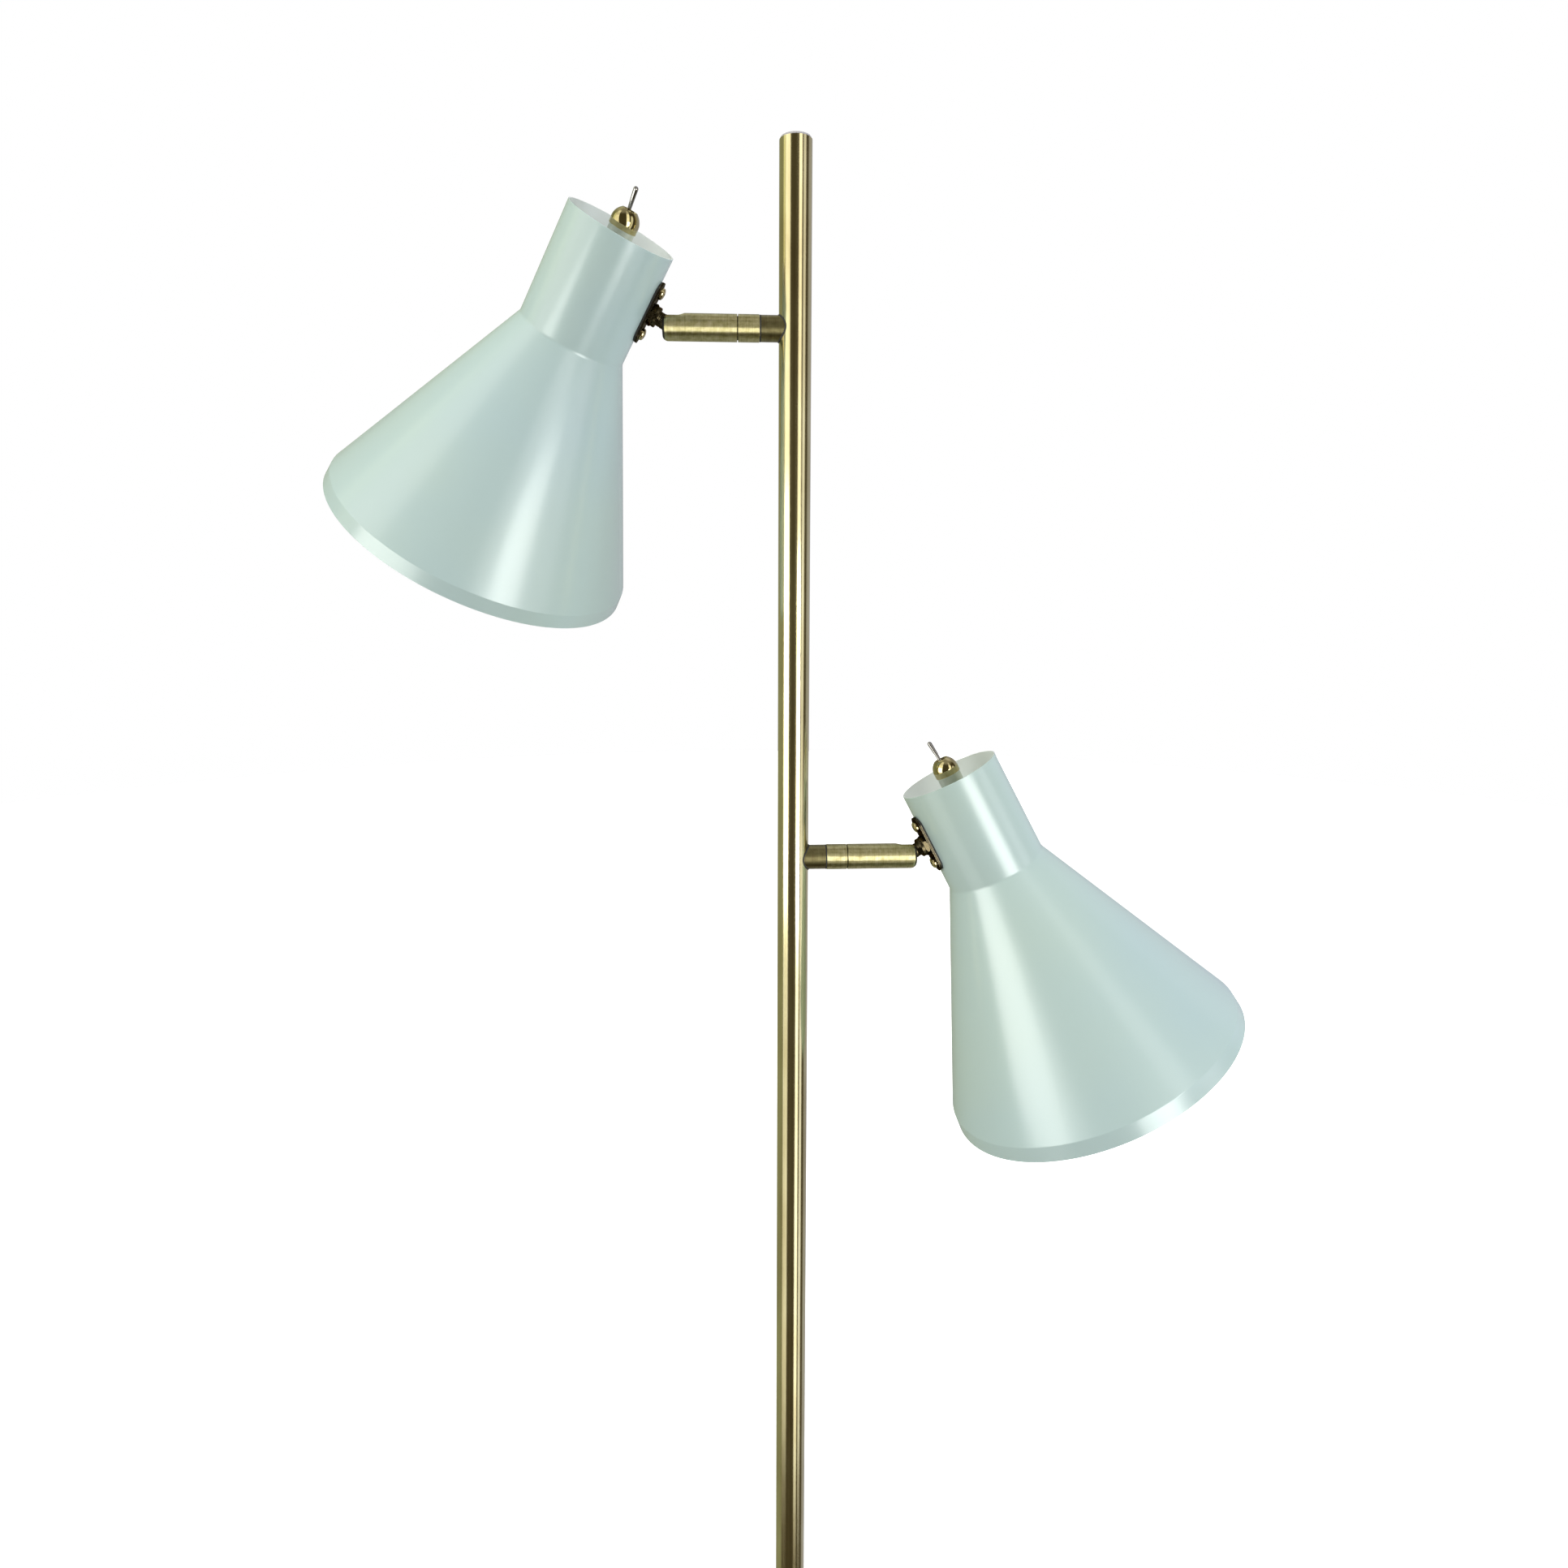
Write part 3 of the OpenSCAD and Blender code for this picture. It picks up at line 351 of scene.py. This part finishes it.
# %% [markdown]
# ## Everything that is not brass or paint
#
# The rest is plastic, rubber, steel, iron and glass.  Most of it is hidden, but a lamp
# gets turned over, pulled apart and lit from below, so each piece has its own finish.

# %% Plastic, rubber, steel, iron and glass
CLOUDS = (90, 90, 90)


def moulded(name, colour_a, colour_b, dull, grain=2200, depth=0.00004, **fixed):
    made, tree, shader = new_finish(name, **fixed)
    texture = blotches(tree, (grain, grain, grain), detail=3)
    clouds = blotches(tree, CLOUDS, detail=3)
    colour = shades_of(tree, clouds, (0.3, colour_a), (0.7, colour_b))
    connect(tree, shader, colour, between(tree, texture, *dull), texture, depth, strength=0.35)
    return made


cap_plastic = moulded("end_cap_plastic", (0.47, 0.455, 0.48), (0.44, 0.43, 0.455), (0.4, 0.5))
black_rubber = moulded("black_rubber", (0.018, 0.018, 0.018), (0.03, 0.03, 0.03), (0.6, 0.8))
felt_pad = moulded("foot_pad", (0.02, 0.02, 0.02), (0.045, 0.045, 0.045), (0.85, 0.97),
                   grain=3500, depth=0.0003)
black_nylon = moulded("black_nylon", (0.02, 0.02, 0.022), (0.035, 0.035, 0.037), (0.35, 0.5))
lead_sheath = moulded("lead_sheath", (0.03, 0.03, 0.03), (0.05, 0.05, 0.05), (0.45, 0.6))
zinc_steel = moulded("zinc_steel", (0.62, 0.62, 0.64), (0.5, 0.5, 0.52), (0.28, 0.42),
                     Metallic=1.0)
spring_steel = moulded("spring_steel", (0.42, 0.42, 0.43), (0.3, 0.3, 0.31), (0.25, 0.4),
                       Metallic=1.0)
cast_iron = moulded("cast_iron", (0.10, 0.10, 0.105), (0.17, 0.165, 0.16), (0.6, 0.8),
                    grain=900, depth=0.0004, Metallic=0.6)
opal_glass = moulded("opal_glass", (0.93, 0.92, 0.88), (0.9, 0.89, 0.86), (0.08, 0.16),
                     grain=600, depth=0.00003, Coat_Weight=0.3, Coat_Roughness=0.08)
# Near black, for the insides of rings and barrels: painted shade in the groove and the slot.
painted_bore_shade = moulded("painted_shade_in_bores", (0.016, 0.012, 0.008), (0.03, 0.022, 0.014), (0.55, 0.75),
                   Metallic=0.5)
print("plain finishes made:", len(bpy.data.materials))

# %% [markdown]
# ## Putting the finishes on
#
# Each part gets its finish by name.  Both heads have the same parts, so one list of
# endings serves `upper_` and `lower_` alike.

# %% Dress every part
STAND = {
    "base_pad": felt_pad, "base_weight": cast_iron, "base_cover": foot_brass,
    "base_nut": zinc_steel, "base_washer": zinc_steel, "base_nipple": zinc_steel,
    "cord_grommet": black_rubber, "pole_foot_insert": zinc_steel, "pole_collar": foot_brass,
    "pole_lower": pole_brass, "pole_joiner": zinc_steel, "pole_upper": pole_brass,
    "pole_end_cap": cap_plastic, "pole_wiring": lead_sheath, "connector_block": cap_plastic,
    "arm_ferrules": ferrule_brass, "arm_nipples": zinc_steel, "arm_pole_nuts": zinc_steel,
    "arm_washers": black_rubber, "arm_lock_nuts": zinc_steel}
HEAD = {
    "arm_ring": barrel_brass, "arm_barrel": barrel_brass, "ball_spring": spring_steel,
    "ball_seat": black_nylon, "arm_lead": lead_sheath, "ball_stem": stem_brass,
    "stem_nuts": stem_brass, "bracket_plate": plate_brass, "bracket_gasket": black_rubber,
    "plate_screws": screw_brass, "shade": mint_paint, "shade_cap": inside_white,
    "holder_bracket": zinc_steel, "lamp_holder": black_nylon, "bulb": opal_glass,
    "switch_body": black_nylon, "switch_collar": collar_nickel, "dome_nut": dome_brass,
    "head_leads": lead_sheath, "toggle_lever": lever_chrome}
SIDES = ("upper_", "lower_")

finish_of = dict(STAND)
for side in SIDES:
    finish_of.update({side + ending: finish for ending, finish in HEAD.items()})
for name, finish in finish_of.items():
    part = nodes[name]
    if not part.material_slots:
        part.data.materials.append(finish)
    for slot in part.material_slots:
        slot.material = finish
print(len(finish_of), "parts dressed; left bare:", sorted(set(nodes) - set(finish_of)))

# %% [markdown]
# ## Mint outside, white inside
#
# The shades are sprayed white inside so that they throw the light out.  Outside and
# inside are one sheet of metal, so the two colours are told apart by the way each face
# looks: a face whose normal points in towards the shade's own axis is inside.  That
# needs each head's axes, which are its turn, tilt and spin at rest, one after another.

# %% Work out each head's axes and paint the inside
ARM_HEIGHT = {"upper_": 1.380, "lower_": 1.015}
REST_ANGLES = {"upper_": (-8, 29.5, -12.5), "lower_": (-25, 28.5, 17)}
BALL_OUT = 0.082
SHADE_OUT = 0.0558
FACES_IN = -0.2


def head_axes(side):
    turn, tilt, spin = (math.radians(angle) for angle in REST_ANGLES[side])
    flip = Matrix.Rotation(math.pi if side == "upper_" else 0, 4, "Z")
    ball = (Matrix.Translation((0, 0, ARM_HEIGHT[side])) @ flip
            @ Matrix.Rotation(turn, 4, "X") @ Matrix.Translation((BALL_OUT, 0, 0)))
    return (ball @ Matrix.Rotation(-tilt, 4, "Y") @ Matrix.Rotation(spin, 4, "X")
            @ Matrix.Translation((SHADE_OUT, 0, 0)))


def add_finish(part, finish):
    part.materials.append(finish)
    return len(part.materials) - 1


for side in SIDES:
    to_head = head_axes(side).inverted()
    shade = nodes[side + "shade"].data
    white = add_finish(shade, inside_white)
    inside = 0
    for face in shade.polygons:
        centre = to_head @ face.center
        facing = to_head.to_3x3() @ face.normal
        outward = Vector((centre.x, centre.y, 0)).normalized()
        if facing.dot(outward) < FACES_IN:
            face.material_index = white
            inside += 1
    print(side + "shade:", inside, "of", len(shade.polygons), "faces are inside")

# %% [markdown]
# ## Painted shade in the gaps
#
# Thin black lines cross each arm in the photograph.  One is a real gap, the groove
# between the ring and the barrel, and the slot in the barrel's end shows black too.  Both
# lie in deep shade, so the insides of the brass get a near black finish, which is painted
# shade.  Those faces are found by their distance from the arm's own axis, since
# everything nearer to it than the bore is inside.  The other two lines come further down.

# %% Paint shade on the insides of rings and barrels
BORE = 0.0082


def paint_bore_shade(name, arm_height):
    part = nodes[name].data
    dark = add_finish(part, painted_bore_shade)
    inside = [face for face in part.polygons
              if math.hypot(face.center.y, face.center.z - arm_height) < BORE]
    for face in inside:
        face.material_index = dark
    print(name, len(inside), "of", len(part.polygons), "faces darkened")


for side, arm_height in ARM_HEIGHT.items():
    paint_bore_shade(side + "arm_ring", arm_height)
    paint_bore_shade(side + "arm_barrel", arm_height)

# %% [markdown]
# ## The dome nut's profile
#
# The engineering model turns each dome nut from a dozen short straight cuts.  On a
# polished surface every cut shows as a band.  Shading it smooth would hide the bands and
# leave a wobble in the reflections.  So the two nuts are turned again here from the same
# sizes, with many more cuts and rounded rims.  First comes half of the nut's outline.

# %% Draw the dome nut's profile
NUT_RADIUS = 0.0094
NUT_HEIGHT = 0.0123
NUT_STRAIGHT = NUT_HEIGHT / 3
NUT_OPENING = 0.005
NUT_BORE = 0.00593
NUT_RIM = 0.0003
BORE_TOP = 0.0063
CONE_TOP = 0.0072
CONE_TOP_RADIUS = 0.0036


def arc(middle_r, middle_z, radius, start, end, cuts=6):
    angles = [math.radians(start + (end - start) * cut / cuts) for cut in range(cuts + 1)]
    return [(middle_r + radius * math.cos(a), middle_z + radius * math.sin(a)) for a in angles]


def dome_profile(cuts=40):
    top = NUT_HEIGHT - NUT_RIM
    rise = (NUT_HEIGHT - NUT_STRAIGHT) / math.sqrt(1 - (NUT_OPENING / NUT_RADIUS) ** 2)
    profile = [(NUT_BORE, 0)] + arc(NUT_RADIUS - NUT_RIM, NUT_RIM, NUT_RIM, -90, 0)
    for cut in range(cuts + 1):
        z = (top - NUT_STRAIGHT) * math.sin(math.pi / 2 * cut / cuts)
        profile.append((NUT_RADIUS * math.sqrt(1 - (z / rise) ** 2), NUT_STRAIGHT + z))
    last = profile[-1][0]
    profile += arc(last - NUT_RIM, top, NUT_RIM, 40, 150)
    return profile + [(CONE_TOP_RADIUS, CONE_TOP), (NUT_BORE, BORE_TOP)]


print("nut profile:", len(dome_profile()), "corners")

# %% [markdown]
# ## Turning the dome nuts
#
# A lathe is easy in mesh code: the profile is copied round the axis, one ring of corners
# per step, and neighbouring rings are joined by faces.  Each nut is put where its head's
# axes say, so that it sits on the collar, and stands in for the plain one.

# %% Turn the dome nuts
NUT_SEAT = 0.0365


def put_in_scene(name, shape, finish):
    bmesh.ops.recalc_face_normals(shape, faces=shape.faces)
    mesh = bpy.data.meshes.new(name)
    shape.to_mesh(mesh)
    shape.free()
    mesh.materials.append(finish)
    made = bpy.data.objects.new(name, mesh)
    bpy.context.scene.collection.objects.link(made)
    return made


def turn_on_lathe(name, profile, place, finish, steps=144):
    shape = bmesh.new()
    rings = [[shape.verts.new(place @ Vector((r * math.cos(a), r * math.sin(a), z)))
              for a in (2 * math.pi * step / steps for step in range(steps))] for r, z in profile]
    for one, two in zip(rings, rings[1:] + rings[:1]):
        for step in range(steps):
            after = (step + 1) % steps
            shape.faces.new((one[step], one[after], two[after], two[step])).smooth = True
    return put_in_scene(name, shape, finish)


for side in SIDES:
    seat = head_axes(side) @ Matrix.Translation((0, 0, NUT_SEAT))
    nut = turn_on_lathe(side + "polished_dome_nut", dome_profile(), seat, dome_brass)
    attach(nut, side + "head")
    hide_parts(side + "dome_nut")
    own = [[end(corner.co[i] for corner in nut.data.vertices) for i in range(3)]
           for end in (min, max)]
    gaps = [abs(a - b) for plain, turned in zip(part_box(side + "dome_nut"), own)
            for a, b in zip(plain, turned)]
    print(nut.name, "stands off the plain nut's box by at most", round(1000 * max(gaps), 3), "mm")

# %% [markdown]
# ## Where the dark beads run
#
# The other two lines are thin black beads.  One curves round the ferrule where it sits
# on the pole: a saddle never fits its tube exactly, the crack between them lies in shade,
# and this bead is painted shade.  The other is the black rubber washer that the ring turns
# against, carried out to the surface as a lip, so it is partly the washer and partly
# painted shade in that crack.  Both paths could be drawn by eye, but sizes that are known
# already give them exactly: one is where the ferrule's outside meets the pole, the other
# is a circle round the arm.

# %% Find the paths of the dark beads
POLE_RADIUS = 0.011
FERRULE_RADIUS = 0.0087
WASHER_OUT = 0.02350
WASHER_LIP_RADIUS = 0.00835
CRACK = 0.0002


def saddle_point(angle, towards, arm_height):
    y = FERRULE_RADIUS * math.sin(angle)
    z = FERRULE_RADIUS * math.cos(angle)
    return Vector((towards * (math.sqrt(POLE_RADIUS ** 2 - y ** 2) + CRACK), y, arm_height + z))


def washer_point(angle, towards, arm_height):
    return Vector((towards * WASHER_OUT, WASHER_LIP_RADIUS * math.sin(angle),
                   arm_height + WASHER_LIP_RADIUS * math.cos(angle)))


print("saddle seal reaches from", round(1000 * saddle_point(math.pi / 2, 1, 0).x, 2), "to",
      round(1000 * saddle_point(0, 1, 0).x, 2), "mm out from the pole's axis")

# %% [markdown]
# ## Sweeping the dark beads
#
# Each bead is a thin round black line along its path.  A curve object with a round bevel
# would do, but a mesh swept point by point needs no conversion: each ring of corners is set
# round the path's own direction at that point, and one helper then serves both paths.

# %% Sweep the dark beads
SADDLE_SHADE_BEAD_THICK = 0.0005
WASHER_LIP_AND_SHADE_THICK = 0.00045


def sweep_dark_bead(name, point_at, towards, arm_height, thick, steps=96, corners=10, ahead=0.01):
    shape = bmesh.new()
    rings = []
    for step in range(steps):
        angle = 2 * math.pi * step / steps
        here, before, after = (point_at(angle + shift, towards, arm_height)
                               for shift in (0, -ahead, ahead))
        along = (after - before).normalized()
        out = Vector((0, math.sin(angle), math.cos(angle)))
        out = (out - along * out.dot(along)).normalized()
        side_way = along.cross(out)
        turns = (2 * math.pi * corner / corners for corner in range(corners))
        ways = (out * math.cos(turn) + side_way * math.sin(turn) for turn in turns)
        rings.append([shape.verts.new(here + way * thick) for way in ways])
    for step in range(steps):
        one, two = rings[step], rings[(step + 1) % steps]
        for corner in range(corners):
            after = (corner + 1) % corners
            shape.faces.new((one[corner], one[after], two[after], two[corner])).smooth = True
    made = put_in_scene(name, shape, black_rubber)
    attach(made, "stand")
    print(name, len(made.data.polygons), "faces")


# The saddle bead is painted shade; the washer lip is the black washer, also standing for the shade
# in its crack.
for side, towards in zip(SIDES, (-1, 1)):
    height = ARM_HEIGHT[side]
    sweep_dark_bead(side + "saddle_shade_bead", saddle_point, towards, height, SADDLE_SHADE_BEAD_THICK)
    sweep_dark_bead(side + "washer_lip_and_shade", washer_point, towards, height, WASHER_LIP_AND_SHADE_THICK)

# %% [markdown]
# ## The studio
#
# Polished tube shows its surroundings, not its own colour, so the light has to be built
# as something worth reflecting.  In the photograph the tube has bright upright stripes
# with brown between them, and they run its whole height.  That means tall soft panels to
# the left and right of the camera in a dim room.  They could be area lights, but the
# tube is tall and the lens close, so panels of a sensible size would slide out of the
# reflection towards the foot.  Painted on the sky they are far away, and the stripes
# reach the foot.  Each panel has a colour, a strength, and soft edges in degrees.

# %% Helpers for painting the sky
sky = bpy.data.worlds.new("studio_sky")
sky.use_nodes = True
room = sky.node_tree
room.nodes.clear()
looking = wire(room, "ShaderNodeTexCoord").outputs["Generated"]
xyz = wire(room, "ShaderNodeSeparateXYZ", {0: looking}).outputs


def sum_of(kind, *values):
    return wire(room, "ShaderNodeMath", dict(enumerate(values)), operation=kind).outputs[0]


bearing = sum_of("ARCTAN2", xyz[0], sum_of("MULTIPLY", xyz[1], -1.0))
elevation = sum_of("ARCSINE", xyz[2])


def rise(angle, start, end):
    return wire(room, "ShaderNodeMapRange",
                {"Value": angle, "From Min": math.radians(start), "From Max": math.radians(end)},
                interpolation_type="SMOOTHSTEP").outputs["Result"]


def window(angle, edges):
    fade_in, full, fading, gone = edges
    return sum_of("SUBTRACT", rise(angle, fade_in, full), rise(angle, fading, gone))


def panel(colour, strength, across, upright):
    shape = sum_of("MULTIPLY", window(bearing, across), window(elevation, upright))
    return wire(room, "ShaderNodeVectorMath", {0: [c * strength for c in colour], "Scale": shape},
                operation="SCALE").outputs["Vector"]


def add_up(*colours):
    total = colours[0]
    for colour in colours[1:]:
        total = wire(room, "ShaderNodeVectorMath", {0: total, 1: colour},
                     operation="ADD").outputs["Vector"]
    return total


print("sky started:", len(room.nodes), "nodes")

# %% [markdown]
# ## Placing the panels
#
# Seen from the lamp, a bearing of 0 degrees points at the camera, and bearings grow to
# the camera's right.  Four angles make one window with soft edges: where it starts,
# where it is full, where it starts to fade and where it is gone.  A picture wrapped
# round the room could do the same, but windows are easy to slide.  The bright ones in
# front make the stripes, the dim ones behind keep the tube's edges and back from going
# black, and the last two stand for the floor and the ceiling.  The lens itself sees
# plain white.

# %% Paint the soft panels on the sky
ALL_ROUND = (-200, -190, 190, 200)
LEFT = (-81, -76, -43, -38)
RIGHT = (18, 22, 40, 44)
FAR_RIGHT = (51, 55, 71, 75)
FAR_LEFT = (-100, -92, -84, -77)
BACK_LEFT = (-184, -178, -84, -78)
BACK_RIGHT = (93, 103, 173, 183)
FLOOR_TO_CEILING = (-86, -66, 66, 86)
WARM_WHITE = (1.0, 1.0, 0.93)

light_seen = add_up(
    panel((0.10, 0.085, 0.05), 1.0, ALL_ROUND, (-100, -95, 95, 100)),
    panel(WARM_WHITE, 1.1, LEFT, (-46, -42, 60, 74)),
    panel(WARM_WHITE, 0.7, LEFT, (-10, 8, 30, 44)),
    panel((1.0, 1.0, 0.98), 2.0, RIGHT, (-47, -44, 34, 50)),
    panel((0.97, 0.98, 1.0), 0.6, RIGHT, (34, 50, 56, 70)),
    panel((0.93, 0.95, 1.0), 1.3, FAR_RIGHT, (-47, -44, 20, 34)),
    panel((0.95, 1.0, 0.66), 1.1, FAR_LEFT, (2, 12, 40, 55)),
    panel((0.24, 0.27, 0.17), 1.0, BACK_LEFT, FLOOR_TO_CEILING),
    panel((0.40, 0.42, 0.50), 1.0, BACK_RIGHT, FLOOR_TO_CEILING),
    panel((0.24, 0.23, 0.21), 1.0, ALL_ROUND, (-105, -100, -84, -74)),
    panel((0.35, 0.35, 0.36), 1.0, ALL_ROUND, (40, 64, 100, 105)),
)
seen_by_lens = wire(room, "ShaderNodeLightPath").outputs["Is Camera Ray"]
glow = wire(room, "ShaderNodeMix", {"Factor": seen_by_lens, "A": light_seen, "B": (1, 1, 1, 1)},
            data_type="RGBA")
shine = wire(room, "ShaderNodeBackground", {"Color": glow.outputs["Result"], "Strength": 1.0})
wire(room, "ShaderNodeOutputWorld", {"Surface": shine.outputs[0]})
bpy.context.scene.world = sky
print("studio sky:", len(room.nodes), "nodes")

# %% [markdown]
# ## Lights that are near
#
# The paint tells something the tube does not.  Its bright bands end part of the way down
# each head, so the real softboxes were about a metre away and not very large.  A light
# can be seen in a mirror and light a surface, and in Blender the two can be switched
# apart.  Two softboxes are therefore only mirrored: they draw the glossy bands.  One wide
# light overhead and one on each side only light: they shape the soft shading, and put no
# extra stripe on the tube.

# %% Hang the softboxes
def softbox(name, place, aim, width, tall, brightness, tint, only_mirrored=False):
    light = bpy.data.lights.new(name, "AREA")
    light.shape = "RECTANGLE"
    light.size, light.size_y = width, tall
    light.energy = brightness * math.pi * width * tall
    light.color = tint
    stand = bpy.data.objects.new(name, light)
    stand.location = place
    stand.rotation_euler = (Vector(place) - Vector(aim)).to_track_quat("Z", "Y").to_euler()
    stand.visible_glossy = only_mirrored
    stand.visible_diffuse = not only_mirrored
    stand.visible_camera = False
    bpy.context.scene.collection.objects.link(stand)
    print(name, round(light.energy, 1), "W")


softbox("overhead_softbox", place=(-0.2, -0.8, 3.1), aim=(0, 0, 1.2), width=2.4, tall=2.0,
        brightness=1.95, tint=(1.0, 1.0, 1.0))
softbox("left_softbox", place=(-0.95, -0.56, 0.97), aim=(0, 0, 0.97), width=0.72, tall=0.76,
        brightness=4.6, tint=(1.0, 1.0, 0.96), only_mirrored=True)
softbox("right_softbox", place=(0.50, -0.81, 0.92), aim=(0, 0, 0.92), width=0.40, tall=0.62,
        brightness=7.6, tint=(1.0, 1.0, 0.98), only_mirrored=True)
softbox("left_side_light", place=(-1.3, -0.45, 1.5), aim=(-0.2, 0, 1.3), width=0.7, tall=1.2,
        brightness=1.9, tint=(1.0, 1.0, 0.97))
softbox("right_side_light", place=(1.3, -0.45, 1.0), aim=(0.2, 0, 0.95), width=0.7, tall=1.2,
        brightness=3.3, tint=(0.88, 0.94, 1.0))

# %% [markdown]
# ## The floor
#
# The lamp stands on a plain pale floor that runs off into the white of the studio.  A
# flat disc does it, with the faintest mottling.  It glows more the further it is from
# the lamp, so that it burns out to white as the photograph's background does and only
# keeps a soft shadow round the foot.

# %% Lay the floor
PALE = (0.86, 0.86, 0.86)
PALER = (0.88, 0.88, 0.88)
MOTTLES = (3, 3, 3)
SHADOW_REACH = 0.3
BURNT_OUT = 1.6


def make_floor(radius=6.0, sides=128):
    mesh = bpy.data.meshes.new("studio_floor")
    shape = bmesh.new()
    bmesh.ops.create_circle(shape, cap_ends=True, radius=radius, segments=sides)
    shape.to_mesh(mesh)
    shape.free()
    made = bpy.data.objects.new("studio_floor", mesh)
    bpy.context.scene.collection.objects.link(made)
    return made


floor = make_floor()
floor_paint, tree, shader = new_finish("pale_floor", Emission_Color=(1, 1, 1, 1))
seen_by_lens = wire(tree, "ShaderNodeLightPath").outputs["Is Camera Ray"]
place = wire(tree, "ShaderNodeTexCoord").outputs["Object"]
distance = wire(tree, "ShaderNodeVectorMath", {0: place}, operation="LENGTH").outputs["Value"]
burn_out = between(tree, distance, 0.5, 1.0, SHADOW_REACH, BURNT_OUT)
glow = wire(tree, "ShaderNodeMath", {0: burn_out, 1: seen_by_lens}, operation="MULTIPLY")
tree.links.new(glow.outputs[0], shader.inputs["Emission Strength"])
mottle = blotches(tree, MOTTLES, detail=3)
colour = shades_of(tree, mottle, (0.3, PALE), (0.7, PALER))
connect(tree, shader, colour, between(tree, mottle, 0.75, 0.85))
floor.data.materials.append(floor_paint)
floor.visible_glossy = False
bpy.context.scene.view_settings.view_transform = "Standard"
print("floor laid, view transform", bpy.context.scene.view_settings.view_transform)
